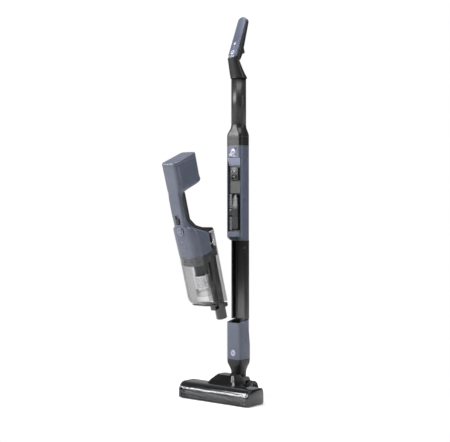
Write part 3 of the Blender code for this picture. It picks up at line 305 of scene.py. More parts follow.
def plain_floor():
    """Pale matt paper near the object that melts into the white of the room further out."""
    made, tree, shader = new_material("floor")
    tree.links.new(two_tone(tree, object_noise(tree, 3), (0.86, 0.86, 0.86), (0.9, 0.9, 0.9)),
                   shader.inputs["Base Color"])
    shader.inputs["Roughness"].default_value = 0.6
    shader.inputs["Specular IOR Level"].default_value = 0.2
    coords = tree.nodes.new("ShaderNodeTexCoord")
    distance = tree.nodes.new("ShaderNodeVectorMath")
    distance.operation = "LENGTH"
    tree.links.new(coords.outputs["Object"], distance.inputs[0])
    share = tree.nodes.new("ShaderNodeMapRange")
    share.interpolation_type = "SMOOTHSTEP"
    share.inputs["From Min"].default_value = 0.2
    share.inputs["From Max"].default_value = 0.75
    tree.links.new(distance.outputs["Value"], share.inputs["Value"])
    seen = tree.nodes.new("ShaderNodeLightPath")
    factor = tree.nodes.new("ShaderNodeMath")
    factor.operation = "MULTIPLY"
    tree.links.new(share.outputs["Result"], factor.inputs[0])
    tree.links.new(seen.outputs["Is Camera Ray"], factor.inputs[1])
    white = tree.nodes.new("ShaderNodeEmission")
    mix = tree.nodes.new("ShaderNodeMixShader")
    tree.links.new(factor.outputs["Value"], mix.inputs[0])
    tree.links.new(shader.outputs["BSDF"], mix.inputs[1])
    tree.links.new(white.outputs["Emission"], mix.inputs[2])
    tree.links.new(mix.outputs["Shader"], tree.nodes["Material Output"].inputs["Surface"])
    return made


def clear_plastic(name, colour, facing, edge):
    """Smoky clear plastic: seen through face on, denser and brighter at a glancing angle."""
    made, tree, shader = new_material(name)
    streaks = object_noise(tree, 20, 4, (1, 1, 0.3))
    tree.links.new(two_tone(tree, streaks, colour, [c * 1.25 for c in colour]), shader.inputs["Base Color"])
    tree.links.new(spread(tree, object_noise(tree, 70, 5), 0.03, 0.12), shader.inputs["Roughness"])
    weight = tree.nodes.new("ShaderNodeLayerWeight")
    weight.inputs["Blend"].default_value = 0.3
    alpha = tree.nodes.new("ShaderNodeMapRange")
    alpha.inputs["To Min"].default_value = facing
    alpha.inputs["To Max"].default_value = edge
    tree.links.new(weight.outputs["Facing"], alpha.inputs["Value"])
    tree.links.new(alpha.outputs["Result"], shader.inputs["Alpha"])
    shader.inputs["Specular IOR Level"].default_value = 1.0
    shader.inputs["Coat Weight"].default_value = 0.6
    return made


def rubber(name, colour):
    made, tree, shader = new_material(name)
    tree.links.new(two_tone(tree, object_noise(tree, 90, 5), colour, [c * 1.8 for c in colour]),
                   shader.inputs["Base Color"])
    tree.links.new(spread(tree, object_noise(tree, 60), 0.62, 0.85), shader.inputs["Roughness"])
    bump(tree, shader, object_noise(tree, 1500, 2), 0.35)
    return made


def brushed_metal(name, colour, roughness, along=(1, 40, 40)):
    made, tree, shader = new_material(name)
    lines = object_noise(tree, 60, 4, along)
    tree.links.new(two_tone(tree, lines, [c * 0.82 for c in colour], colour), shader.inputs["Base Color"])
    tree.links.new(spread(tree, lines, roughness - 0.06, roughness + 0.1), shader.inputs["Roughness"])
    bump(tree, shader, lines, 0.08)
    shader.inputs["Metallic"].default_value = 1.0
    return made


def button_face(name):
    """A pale satin cap, a little uneven in colour and gloss."""
    made, tree, shader = new_material(name)
    tree.links.new(two_tone(tree, object_noise(tree, 120, 4), (0.24, 0.25, 0.34), (0.32, 0.33, 0.43)),
                   shader.inputs["Base Color"])
    tree.links.new(spread(tree, object_noise(tree, 200, 4), 0.2, 0.34), shader.inputs["Roughness"])
    bump(tree, shader, object_noise(tree, 2200, 1), 0.08)
    shader.inputs["Coat Weight"].default_value = 0.3
    return made


def fibre(name, colour, other, stretch):
    made, tree, shader = new_material(name)
    strands = object_noise(tree, 1400, 2, stretch)
    tree.links.new(two_tone(tree, strands, colour, other), shader.inputs["Base Color"])
    shader.inputs["Roughness"].default_value = 0.85
    shader.inputs["Sheen Weight"].default_value = 0.25
    bump(tree, shader, strands, 0.6)
    return made


def perforated_steel(name):
    """Bright steel with small round holes in even rows."""
    made, tree, shader = new_material(name)
    coords = tree.nodes.new("ShaderNodeTexCoord")
    dots = tree.nodes.new("ShaderNodeTexVoronoi")
    dots.inputs["Scale"].default_value = 620
    dots.inputs["Randomness"].default_value = 0.0
    tree.links.new(coords.outputs["Object"], dots.inputs["Vector"])
    holes = tree.nodes.new("ShaderNodeMapRange")
    holes.inputs["From Min"].default_value = 0.3
    holes.inputs["From Max"].default_value = 0.36
    tree.links.new(dots.outputs["Distance"], holes.inputs["Value"])
    shade = tree.nodes.new("ShaderNodeMix")
    shade.data_type = "RGBA"
    shade.inputs["A"].default_value = (0.03, 0.03, 0.03, 1)
    shade.inputs["B"].default_value = (0.45, 0.45, 0.46, 1)
    tree.links.new(holes.outputs["Result"], shade.inputs["Factor"])
    tree.links.new(shade.outputs["Result"], shader.inputs["Base Color"])
    tree.links.new(holes.outputs["Result"], shader.inputs["Metallic"])
    tree.links.new(spread(tree, object_noise(tree, 90), 0.18, 0.32), shader.inputs["Roughness"])
    bump(tree, shader, holes.outputs["Result"], 0.5)
    return made


def glowing(name, colour, strength):
    made, tree, shader = new_material(name)
    tree.links.new(two_tone(tree, object_noise(tree, 300), colour, [c * 0.8 for c in colour]),
                   shader.inputs["Base Color"])
    shader.inputs["Emission Color"].default_value = (*colour, 1)
    shader.inputs["Emission Strength"].default_value = strength
    shader.inputs["Roughness"].default_value = 0.2
    return made


LOOKS = {
    "slate": moulded_plastic("slate", (0.062, 0.071, 0.102), 0.32, 2600, 0.04, 0.2),
    "slate_light": moulded_plastic("slate_light", (0.14, 0.15, 0.21), 0.34, coat=0.1),
    "charcoal": moulded_plastic("charcoal", (0.006, 0.006, 0.0065), 0.38, 2600, 0.04, 0.0, 0.03),
    "inner_grey": moulded_plastic("inner_grey", (0.03, 0.03, 0.031), 0.34),
    "pale_grey": moulded_plastic("pale_grey", (0.075, 0.075, 0.08), 0.3),
    "gloss_black": moulded_plastic("gloss_black", (0.003, 0.003, 0.0035), 0.12, 900, 0.02, 0.5, 0.04),
    "steel": brushed_metal("steel", (0.62, 0.62, 0.64), 0.28),
    "motor_metal": brushed_metal("motor_metal", (0.5, 0.5, 0.52), 0.35, (30, 30, 1)),
    "mesh_steel": perforated_steel("mesh_steel"),
    "rubber": rubber("rubber", (0.012, 0.012, 0.013)),
    "clear": clear_plastic("clear", (0.008, 0.008, 0.009), 0.05, 0.93),
    "clear_light": clear_plastic("clear_light", (0.03, 0.03, 0.032), 0.12, 0.7),
    "button": button_face("button"),
    "icon": moulded_plastic("icon", (0.04, 0.045, 0.07), 0.4),
    # dark bristles; on the brush roll it is also the painted shade between the rows of tufts
    "bristle_dark_and_shade": fibre("bristle_dark_and_shade", (0.012, 0.012, 0.014), (0.05, 0.05, 0.055), (1, 0.2, 0.2)),
    "bristle_light": fibre("bristle_light", (0.07, 0.07, 0.075), (0.2, 0.2, 0.21), (1, 0.2, 0.2)),
    "felt": fibre("felt", (0.55, 0.55, 0.53), (0.75, 0.75, 0.72), (1, 1, 0.1)),
    "light": glowing("light", (0.75, 0.85, 1.0), 1.5),
}


# ---------------------------------------------------------------- shapes

def rounded_outline(corners, steps=8):
    """A closed outline from (a, b, radius) corners, each corner rounded by an arc."""
    outline = []
    count = len(corners)
    for i, (a, b, radius) in enumerate(corners):
        here = Vector((a, b))
        before = Vector(corners[i - 1][:2]) - here
        after = Vector(corners[(i + 1) % count][:2]) - here
        if radius <= 0:
            outline.append(here)
            continue
        half = before.angle(after) / 2
        reach = radius / math.tan(half)
        centre = here + (before.normalized() + after.normalized()).normalized() * radius / math.sin(half)
        start = here + before.normalized() * reach - centre
        end = here + after.normalized() * reach - centre
        sweep = start.angle_signed(end)
        for step in range(steps + 1):
            turned = start.copy()
            turned.rotate(Matrix.Rotation(-sweep * step / steps, 2))
            outline.append(centre + turned)
    return outline


def box_outline(half, near, far, radius, steps=8):
    return rounded_outline([(-half, near, radius), (half, near, radius),
                            (half, far, radius), (-half, far, radius)], steps)


def at_height(outline, height):
    rise = height if callable(height) else lambda x, y: height
    return [Vector((p.x, p.y, rise(p.x, p.y))) for p in outline]


def smooth_rows(rings, steps):
    """More rings between the given ones, on a smooth curve through each point."""
    rows = []
    for i in range(len(rings) - 1):
        before = rings[max(i - 1, 0)]
        after = rings[min(i + 2, len(rings) - 1)]
        for step in range(steps):
            t = step / steps
            row = []
            for p0, p1, p2, p3 in zip(before, rings[i], rings[i + 1], after):
                row.append(0.5 * (2 * p1 + (p2 - p0) * t + (2 * p0 - 5 * p1 + 4 * p2 - p3) * t * t
                                  + (3 * p1 - p0 - 3 * p2 + p3) * t ** 3))
            rows.append(row)
    rows.append(rings[-1])
    return rows


def add_piece(name, bm, look, body, place=None, smooth=35):
    """A mesh from bm that rides on a body; place is its matrix, if bm isn't in the row frame."""
    if place is not None:
        bmesh.ops.transform(bm, matrix=place, verts=bm.verts)
    bmesh.ops.recalc_face_normals(bm, faces=bm.faces)
    mesh = bpy.data.meshes.new(name)
    bm.to_mesh(mesh)
    bm.free()
    mesh.shade_smooth()
    mesh.set_sharp_from_angle(angle=math.radians(smooth))
    mesh.materials.append(LOOKS[look])
    obj = bpy.data.objects.new(name, mesh)
    bpy.context.scene.collection.objects.link(obj)
    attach(obj, body)
    return obj


def loft_mesh(rings, capped=True):
    bm = bmesh.new()
    rows = [[bm.verts.new(point) for point in ring] for ring in rings]
    for low, high in zip(rows, rows[1:]):
        for i, vert in enumerate(low):
            j = (i + 1) % len(low)
            bm.faces.new((vert, low[j], high[j], high[i]))
    if capped:
        bm.faces.new(rows[0])
        bm.faces.new(rows[-1])
    return bm


def turned_mesh(profile, steps=48, closed=True):
    """A profile of (radius, height) points turned about Z."""
    bm = bmesh.new()
    rows = []
    for k in range(steps):
        angle = 2 * math.pi * k / steps
        rows.append([bm.verts.new((r * math.cos(angle), r * math.sin(angle), h)) for r, h in profile])
    last = len(profile) if closed else len(profile) - 1
    for k in range(steps):
        a, b = rows[k], rows[(k + 1) % steps]
        for i in range(last):
            j = (i + 1) % len(profile)
            bm.faces.new((a[i], b[i], b[j], a[j]))
    bmesh.ops.remove_doubles(bm, verts=bm.verts, dist=1e-7)
    return bm


def box_mesh(low, high):
    bm = bmesh.new()
    bmesh.ops.create_cube(bm, size=1)
    for vert in bm.verts:
        vert.co = Vector([a + (b - a) * (c + 0.5) for a, b, c in zip(low, high, vert.co)])
    return bm


def add_bevel(obj, width, segments=3, angle=35):
    bevel = obj.modifiers.new("bevel", "BEVEL")
    bevel.width = width
    bevel.segments = segments
    bevel.limit_method = "ANGLE"
    bevel.angle_limit = math.radians(angle)
    bevel.harden_normals = True
    return obj


def refined(node, look, edge=0.7 * MM, angle=35):
    """A CAD node's shape with clean faces and softly rounded edges; it stands for the node."""
    bm = bmesh.new()
    bm.from_mesh(frame["nodes"][node].data)
    bmesh.ops.remove_doubles(bm, verts=bm.verts, dist=2e-6)
    bmesh.ops.dissolve_limit(bm, angle_limit=math.radians(1), verts=bm.verts, edges=bm.edges)
    body = body_of(frame["nodes"][node])[0]
    obj = add_piece(f"{node}_look", bm, look, body, smooth=angle)
    if edge:
        add_bevel(obj, edge, angle=angle)
    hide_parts(node)
    return obj


CLEANER = Matrix.Translation(CLEANER_TIP) @ Matrix.Rotation(CLEANER_LEAN, 4, "X")
GRIP_PLACE = Matrix.Translation((0, GRIP_Y, NECK_TOP)) @ Matrix.Rotation(-GRIP_LEAN, 4, "X")
FACE_FRONT = Matrix.Rotation(math.pi / 2, 4, "X")      # turns +Z to -Y


def cutter(bm, body, place=CLEANER):
    return add_piece("cutter", bm, "charcoal", body, place)


def cut_out(obj, cutters):
    """Cuts the cutters out of the object for good, and removes them."""
    for tool in cutters:
        boolean = obj.modifiers.new("cut", "BOOLEAN")
        boolean.operation = "DIFFERENCE"
        boolean.object = tool
    bpy.context.view_layer.update()
    graph = bpy.context.evaluated_depsgraph_get()
    mesh = bpy.data.meshes.new_from_object(obj.evaluated_get(graph))
    mesh.name = obj.name
    obj.modifiers.clear()
    obj.data = mesh
    for tool in cutters:
        bpy.data.objects.remove(tool)


def add_wall(obj, thickness, even=False):
    """Gives an open skin its wall, inward."""
    solid = obj.modifiers.new("wall", "SOLIDIFY")
    solid.thickness = thickness
    solid.offset = -1
    solid.use_even_offset = even


def ring_mesh(inner, outer, low, high, steps=48):
    return turned_mesh([(outer, high), (outer, low), (inner, low), (inner, high)], steps)


# ---------------------------------------------------------------- pieces straight from the CAD

REFINED = {
    "gloss_black": "roller_housing end_cap_left end_cap_right neck_hood inlet_spout rail_channel "
                   "bin_door door_latch",
    "clear_light": "front_window",
    "charcoal": "sole_plate tilt_knuckle socket_funnel contact_block tool_clip grip_core grip_hook "
                "battery_pack brush_core mode_slider brush_tool neck_collar cyclone_core",
    "slate": "lower_shroud rear_spine holder_shell upper_band grip_cover",
    "slate_light": "dock_chin",
    "inner_grey": "holder_panel latch_tongue impeller motor_pulley",
    "pale_grey": "bin_collar",
    "steel": "bearing_left bearing_right brush_axle wheel_axle",
    "motor_metal": "brush_motor suction_motor",
    "rubber": "socket_seal drive_belt handle_cable",
    "felt": "pleated_filter",
}


def make_refined_pieces():
    for look, nodes in REFINED.items():
        for node in nodes.split():
            refined(node, look)


# ---------------------------------------------------------------- cleaner

def box_section(half, back, front, radius, steps=10):
    """A section of the cleaner: half-width, and how far its back and front stand ahead of the spout."""
    return box_outline(half, -front, -back, radius, steps)


def climbing(height, back, climb):
    return lambda x, y: height + climb * (-y - back)


def casing_sections():
    """From the bin up over the body, the grip and the head: half-width, back, front, height at the
    back, how fast the section climbs to the front, and corner radius."""
    climb = 0.457
    return [(BIN_HALF, DUCT_FRONT + GAP, BIN_FRONT, BIN_TOP + GAP, 0, 24 * MM),
            (BIN_HALF, DUCT_FRONT + GAP, BIN_FRONT + 1.5 * MM, BIN_TOP + 26 * MM, 0.1, 24 * MM),
            (BIN_HALF - 1.5 * MM, DUCT_FRONT + GAP, BODY_FRONT - 2 * MM, DUCT_TOP - 7 * MM, climb, 24 * MM),
            (BIN_HALF - 5 * MM, 22 * MM, BODY_FRONT - 1 * MM, DUCT_TOP + 1 * MM, climb, 22 * MM),
            (BIN_HALF - 14 * MM, 48 * MM, BODY_FRONT, DUCT_TOP + 17 * MM, climb, 16 * MM),
            (BODY_HALF + 2.5 * MM, 70 * MM, BODY_FRONT + 0.5 * MM, DUCT_TOP + 35 * MM, 0.4, 11 * MM),
            (BODY_HALF + 0.5 * MM, 83 * MM, BODY_FRONT + 0.5 * MM, DUCT_TOP + 56 * MM, 0.25, 6.5 * MM),
            (BODY_HALF, 87 * MM, BODY_FRONT + 0.5 * MM, DUCT_TOP + 73 * MM, 0, 4.5 * MM),
            (BODY_HALF, 88 * MM, BODY_FRONT, HEAD_BOTTOM - 34 * MM, 0, 4 * MM),
            (BODY_HALF + 1 * MM, 83 * MM, BODY_FRONT - 1 * MM, HEAD_BOTTOM - 20 * MM, 0, 5.5 * MM),
            (BODY_HALF + 2.5 * MM, 66 * MM, BODY_FRONT - 2 * MM, HEAD_BOTTOM - 10 * MM, 0, 9 * MM),
            (HEAD_HALF - 1.7 * MM, HEAD_NEAR + 2.5 * MM, BODY_FRONT - 3 * MM, HEAD_BOTTOM, 0, 11 * MM),
            (HEAD_HALF - 0.4 * MM, HEAD_NEAR + 0.2 * MM, HEAD_FAR, HEAD_BOTTOM + 20 * MM, 0, HEAD_CORNER),
            (HEAD_HALF, HEAD_NEAR, HEAD_FAR, HEAD_SEAM, 0, HEAD_CORNER)]


def make_casing():
    """The blue casing: one smooth skin, with rooms for the motor, the battery and the slider."""
    rings = [at_height(box_section(half, back, front, radius), climbing(height, back, climb))
             for half, back, front, height, climb, radius in casing_sections()]
    casing = add_piece("casing_skin", loft_mesh(smooth_rows(rings, 4)), "slate", "cleaner", CLEANER,
                       smooth=50)
    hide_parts("cleaner_casing")
    motor_outline = box_section(29 * MM, 23 * MM, 81 * MM, 28.9 * MM)
    motor_room = loft_mesh([at_height(motor_outline, z) for z in (BIN_TOP - 2 * MM, DUCT_TOP - 10 * MM)])
    battery_wall = 4 * MM
    battery_half = HEAD_HALF - battery_wall - 1 * MM
    battery_room = box_mesh((-battery_half, battery_wall - HEAD_FAR, HEAD_BOTTOM + 3 * MM),
                            (battery_half, -HEAD_NEAR - battery_wall, HEAD_SEAM + 9 * MM))
    slider_room = box_mesh((-7 * MM, -BODY_FRONT - 5 * MM, DUCT_TOP + 46 * MM),
                           (7 * MM, -BODY_FRONT + 3 * MM, DUCT_TOP + 72 * MM))
    cut_out(casing, [cutter(room, "cleaner") for room in (motor_room, battery_room, slider_room)])
    add_bevel(casing, 0.8 * MM, angle=50)


def make_lining():
    """The dark lining of the finger gap, softly rounded at its edges."""
    lining = refined("inner_grip", "charcoal", 3 * MM, 40)
    lining.modifiers["bevel"].segments = 5


def make_head_cap():
    """The cap over the battery: a domed lid with a soft rim and a fine seam below it."""
    def top(x, y):
        return HEAD_HIGH - HEAD_SLOPE * (-y - HEAD_NEAR) / (HEAD_FAR - HEAD_NEAR)

    full = box_section(HEAD_HALF, HEAD_NEAR, HEAD_FAR, HEAD_CORNER)
    rings = [at_height(full, HEAD_SEAM + 2 * GAP)]
    for inset, drop in ((0, 4), (0.3, 2.7), (1, 1.6), (2.2, 0.9), (4, 0.5), (9, 0.2), (16, 0)):
        inward = inset * MM
        section = box_section(HEAD_HALF - inward, HEAD_NEAR + inward, HEAD_FAR - inward,
                              max(3 * MM, HEAD_CORNER - inward))
        rings.append(at_height(section, lambda x, y: top(x, y) - drop * MM))
    cap = add_piece("cap_skin", loft_mesh(rings), "slate", "battery", CLEANER, smooth=50)
    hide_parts("head_cap")


def bin_section(shrink=0.0):
    """The bin's section: wide and round in front, narrow where the inlet duct runs up its back."""
    front = shrink - BIN_FRONT
    right = [(DUCT_HALF, DUCT_BACK, 8 * MM), (DUCT_HALF, 0.1 * MM - COVER_END, 0),
             (DUCT_HALF, -COVER_END - 0.1 * MM, 0), (DUCT_HALF, -DUCT_FRONT, 1 * MM),
             (BIN_HALF, -SHOULDER, 14 * MM), (BIN_HALF, front, 25 * MM)]
    left = [(-x, y, radius) for x, y, radius in reversed(right)]
    return rounded_outline(left + right, 10)


def bin_foot(x, y):
    """The slanted bottom of the bin's door."""
    return 42 * MM + 28 * MM * (DUCT_BACK - y) / (DUCT_BACK + BIN_FRONT)


def make_bin():
    """The clear bin, curved in at its foot, with the tall cover round the duct at its back."""
    def rim(x, y):
        return DUCT_TOP - 6 * MM if y > -COVER_END else BIN_TOP

    rings = []
    for rise, shrink in ((3.9, 13), (5.5, 11.5), (7.5, 8), (10.5, 4.5), (14.5, 2), (19, 0.7), (26, 0)):
        rings.append(at_height(bin_section(shrink * MM), lambda x, y: bin_foot(x, y) + rise * MM))
    for height in (120 * MM, BIN_TOP - 2 * MM, rim):
        rings.append(at_height(bin_section(), height))
    wall = add_piece("bin_wall", loft_mesh(rings, capped=False), "clear", "bin", CLEANER, smooth=50)
    add_wall(wall, BIN_WALL, even=True)
    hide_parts("bin_shell")


def make_collar_clips():
    """Two clips on the front of the filter collar, seen through the bin."""
    half = 4 * MM
    front = -91.1 * MM
    for x in (-12 * MM, 12 * MM):
        clip = box_mesh((x - half, front, BIN_TOP - 17 * MM), (x + half, front + 1 * MM, BIN_TOP - 9 * MM))
        add_bevel(add_piece("collar_clip", clip, "charcoal", "bin", CLEANER), 0.4 * MM)


def make_cyclone():
    """The steel mesh with its plain rims, and the clear skirt below it."""
    centre = CLEANER @ Matrix.Translation((0, CYCLONE_Y, 0))
    low, high = 112 * MM, 148 * MM
    steps = 96
    mesh = ring_mesh(MESH_RADIUS - 1.6 * MM, MESH_RADIUS, low + 0.5 * MM, high - 0.5 * MM, steps)
    screen = add_piece("mesh_screen", mesh, "mesh_steel", "bin", centre)
    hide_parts("filter_mesh")
    for rim_low in (low, high - 3 * MM):
        rim = ring_mesh(MESH_RADIUS, MESH_RADIUS + 0.5 * MM, rim_low, rim_low + 2.8 * MM, steps)
        add_piece("mesh_rim", rim, "steel", "bin", centre)
    wide = MESH_RADIUS + 5 * MM
    inside = wide - 1.8 * MM
    profile = [(MESH_RADIUS, low - GAP), (wide - 1 * MM, low - 5 * MM), (wide, low - 9 * MM),
               (wide, low - 22 * MM), (inside, low - 22 * MM), (inside, low - 10 * MM),
               (MESH_RADIUS - 2.5 * MM, low - GAP)]
    skirt = add_piece("skirt_cone", turned_mesh(profile, steps), "clear_light", "bin", centre)
    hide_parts("cyclone_skirt")


# ---------------------------------------------------------------- buttons and marks

def power_mark(radius, height):
    """The open ring of a power sign."""
    gap = math.radians(36)
    count = 40
    bm = bmesh.new()
    rows = []
    for k in range(count + 1):
        angle = math.pi / 2 + gap + (2 * math.pi - 2 * gap) * k / count
        rows.append([bm.verts.new((r * math.cos(angle), r * math.sin(angle), height + 0.12 * MM))
                     for r in (radius * 0.34, radius * 0.44)])
    for a, b in zip(rows, rows[1:]):
        bm.faces.new((a[0], a[1], b[1], b[0]))
    return bm


def power_bar(radius, height):
    half = radius * 0.05
    return box_mesh((-half, radius * 0.12, height), (half, radius * 0.5, height + 0.13 * MM))


def arrow_mark(radius, height):
    tip, neck, foot, head_half, stem_half = 0.42, 0.05, -0.36, 0.34, 0.14
    shape = [(0, tip), (head_half, neck), (stem_half, neck), (stem_half, foot),
             (-stem_half, foot), (-stem_half, neck), (-head_half, neck)]
    outline = [Vector((x * radius, y * radius)) for x, y in shape]
    return loft_mesh([at_height(outline, height), at_height(outline, height + 0.14 * MM)])


def make_button(name, node, body, place, radius, rise, icon, look="button", mark="icon"):
    """A slightly domed cap with a generic mark on its face."""
    profile = [(0, -2 * MM), (radius, -2 * MM), (radius, rise - 0.7 * MM),
               (radius - 0.25 * MM, rise - 0.25 * MM), (radius - 0.8 * MM, rise),
               (radius * 0.5, rise + 0.15 * MM), (0, rise + 0.2 * MM)]
    cap = add_piece(f"{name}_cap", turned_mesh(profile, 64, closed=False), look, body, place)
    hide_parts(node)
    height = rise + 0.12 * MM
    if icon == "power":
        add_piece(f"{name}_mark", power_mark(radius, height), mark, body, place)
        add_piece(f"{name}_bar", power_bar(radius, height), mark, body, place)
    else:
        add_piece(f"{name}_mark", arrow_mark(radius, height), mark, body, place)


def make_bezel(name, look, body, place, radius, wide, low, high, edge):
    """The ring round a button."""
    ring = ring_mesh(radius, radius + wide, low, high)
    add_bevel(add_piece(f"{name}_bezel", ring, look, body, place), edge)


def make_stick_buttons():
    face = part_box("upper_band")[0][1]
    for name, node, body, z in (("dock", "upper_button", "dock_button", UPPER_BUTTON_Z),
                                ("release", "lower_button", "release_button", LOWER_BUTTON_Z)):
        place = Matrix.Translation((0, face, z)) @ FACE_FRONT
        make_button(name, node, body, place, BUTTON_RADIUS, 1.2 * MM, "arrow")
        make_bezel(name, "slate_light", "stick", place, BUTTON_RADIUS + 0.2 * MM, 1.2 * MM,
                   -1 * MM, 0.5 * MM, 0.3 * MM)


def make_grip_buttons():
    for name, node, body, z, radius, icon in (
            ("power", "power_button", "power_switch", 18 * MM, 6.5 * MM, "power"),
            ("mode", "mode_button", "mode_switch", 47 * MM, 4 * MM, "arrow")):
        place = GRIP_PLACE @ Matrix.Translation((0, GRIP_FACE, z)) @ FACE_FRONT
        make_button(name, node, body, place, radius, 1 * MM, icon)
        make_bezel(name, "slate_light", "stick", place, radius + 0.15 * MM, 0.75 * MM,
                   -0.5 * MM, 0.3 * MM, 0.2 * MM)


def make_cleaner_button():
    place = CLEANER @ Matrix.Translation((0, -BODY_FRONT, DUCT_TOP + 26 * MM)) @ FACE_FRONT
    make_button("cleaner", "cleaner_button", "cleaner_switch", place, BUTTON_RADIUS, 2 * MM, "power",
                "slate", "button")
    make_bezel("cleaner", "button", "cleaner", place, BUTTON_RADIUS + 0.2 * MM, 1.2 * MM,
               -1 * MM, 1.2 * MM, 0.3 * MM)


def make_indicator_marks():
    """Small lights between the grip's two buttons."""
    half, tall = 1.6 * MM, 0.6 * MM
    for z in (29 * MM, 33 * MM, 37 * MM):
        mark = box_mesh((-half, GRIP_FACE - 0.3 * MM, z - tall), (half, GRIP_FACE + 0.2 * MM, z + tall))
        add_bevel(add_piece("grip_light", mark, "button", "stick", GRIP_PLACE), 0.15 * MM)


def make_body_marks():
    """Small generic marks below the cleaner's button: three dots and a rounded square."""
    face = CLEANER @ Matrix.Translation((0, -95.6 * MM, 0)) @ FACE_FRONT
    radius, depth = 1.3 * MM, -1 * MM
    for k in range(3):
        profile = [(0, 0.25 * MM), (radius, 0.2 * MM), (radius, depth), (0, depth)]
        place = face @ Matrix.Translation(((k - 1) * 5 * MM, BIN_TOP + 46 * MM, 2.2 * MM))
        add_piece("level_dot", turned_mesh(profile, 24, closed=False), "button", "cleaner", place)
    half, line = 5 * MM, 0.8 * MM
    outline = box_outline(half, -half, half, 1.6 * MM)
    inside = box_outline(half - line, line - half, half - line, 1.2 * MM)
    rings = [at_height(inside, depth), at_height(outline, depth), at_height(outline, 0.4 * MM),
             at_height(inside, 0.4 * MM), at_height(inside, depth)]
    square = loft_mesh(rings, capped=False)
    bmesh.ops.remove_doubles(square, verts=square.verts, dist=1e-7)
    place = face @ Matrix.Translation((0, BIN_TOP + 28 * MM, 0.5 * MM))
    add_piece("level_frame", square, "button", "cleaner", place)


# ---------------------------------------------------------------- floor head

def tyre_profile():
    """A section of the tyre, with two grooves in its tread."""
    low, high = WHEEL_INSIDE, WHEEL_OUTSIDE
    deep = WHEEL_RADIUS - 0.7 * MM
    edge = WHEEL_RADIUS - 0.8 * MM
    seat = 18.5 * MM
    profile = [(WHEEL_RADIUS, low)]
    for z in (low + 3.4 * MM, high - 4.8 * MM):
        profile += [(WHEEL_RADIUS, z), (deep, z + 0.4 * MM), (deep, z + 1 * MM), (WHEEL_RADIUS, z + 1.4 * MM)]
    profile += [(WHEEL_RADIUS, high - 0.8 * MM), (edge, high), (seat, high), (seat, low), (edge, low)]
    return profile


def make_wheel(body, node, side):
    """A grooved rubber tyre on a hub with five spokes and a raised cap."""
    turn = Matrix.Rotation(side * math.pi / 2, 4, "Y")
    place = Matrix.Translation((0, WHEEL_Y, WHEEL_RADIUS)) @ turn
    low, high = WHEEL_INSIDE, WHEEL_OUTSIDE
    tyre = add_piece(f"{body}_tyre", turned_mesh(tyre_profile(), 72), "rubber", body, place)
    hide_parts(node)
    rim, bore, face = 18.6 * MM, 3.1 * MM, high - 4 * MM
    hub = turned_mesh([(rim, high - 3 * MM), (rim, low + 1 * MM), (bore, low + 1 * MM), (bore, face),
                       (15 * MM, face), (16 * MM, high - 1.5 * MM), (17.6 * MM, high - 1.5 * MM)], 72)
    add_piece(f"{body}_hub", hub, "gloss_black", body, place)
    spokes = 5
    for k in range(spokes):
        spoke = box_mesh((4 * MM, -1.8 * MM, face), (16.2 * MM, 1.8 * MM, high - 1.6 * MM))
        turned = place @ Matrix.Rotation(2 * math.pi * k / spokes, 4, "Z")
        add_bevel(add_piece(f"{body}_spoke", spoke, "charcoal", body, turned), 0.5 * MM)
    under = high - 1.2 * MM
    boss = turned_mesh([(0, high - 0.4 * MM), (4 * MM, high - 0.6 * MM), (5.4 * MM, high - 1.4 * MM),
                        (5.6 * MM, face), (3.2 * MM, face), (3.2 * MM, under), (0, under)], 48, closed=False)
    add_piece(f"{body}_boss", boss, "gloss_black", body, place)


def make_wheels():
    make_wheel("left_wheel", "wheel_left", -1)
    make_wheel("right_wheel", "wheel_right", 1)


def tuft_wave(angle, share):
    """1 on a row of tufts and -1 between rows; the rows wind round the roll from end to end."""
    rows, wind = 8, 1.6
    return math.cos(rows * (angle - wind * share))


def make_bristles():
    """Rows of tufts wound round the roll, pale on their crests, with painted shade darkening the pile between
    the rows.
    """
    low, high = (corner[0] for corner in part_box("brush_bristles"))
    steps, around = 90, 96
    roll = bmesh.new()
    rings = []
    for i in range(steps + 1):
        share = i / steps
        x = low + (high - low) * share
        ring = []
        for k in range(around):
            angle = 2 * math.pi * k / around
            tuft = TUFT * max(0, tuft_wave(angle, share)) ** 0.5
            radius = BRUSH_PILE + tuft + random.uniform(-0.25, 0.15) * MM
            ring.append(roll.verts.new((x, BRUSH_CENTRE.y + radius * math.cos(angle),
                                        BRUSH_CENTRE.z + radius * math.sin(angle))))
        rings.append(ring)
    for a, b in zip(rings, rings[1:]):
        for k in range(around):
            j = (k + 1) % around
            roll.faces.new((a[k], a[j], b[j], b[k]))
    roll.faces.new(rings[0])
    roll.faces.new(rings[-1])
    pile = add_piece("roll_pile", roll, "bristle_dark_and_shade", "brush_roll", smooth=80)
    pile.data.materials.append(LOOKS["bristle_light"])
    # faces off the crests keep the dark look: painted shade between the rows of tufts
    crest = 0.55
    for face in pile.data.polygons:
        offset = face.center - BRUSH_CENTRE
        share = (face.center.x - low) / (high - low)
        if tuft_wave(math.atan2(offset.z, offset.y), share) > crest:
            face.material_index = 1
    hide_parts("brush_bristles")


# ---------------------------------------------------------------- stick

def add_strand(bm, root, length, lean):
    """A three-sided tuft hanging from its root, gathered toward its tip."""
    base = [root + Vector(offset) for offset in ((-0.5 * MM, 0, 0), (0.5 * MM, 0, 0), (0, 0.9 * MM, 0))]
    tip = [p + Vector((lean, 0, random.uniform(0, 2) * MM - length)) for p in base]
    middle = sum(tip, Vector()) / 3
    low = [bm.verts.new((p + middle) / 2) for p in tip]
    high = [bm.verts.new(p) for p in base]
    for k in range(3):
        j = (k + 1) % 3
        bm.faces.new((low[k], low[j], high[j], high[k]))
    bm.faces.new(low)
    bm.faces.new(high)


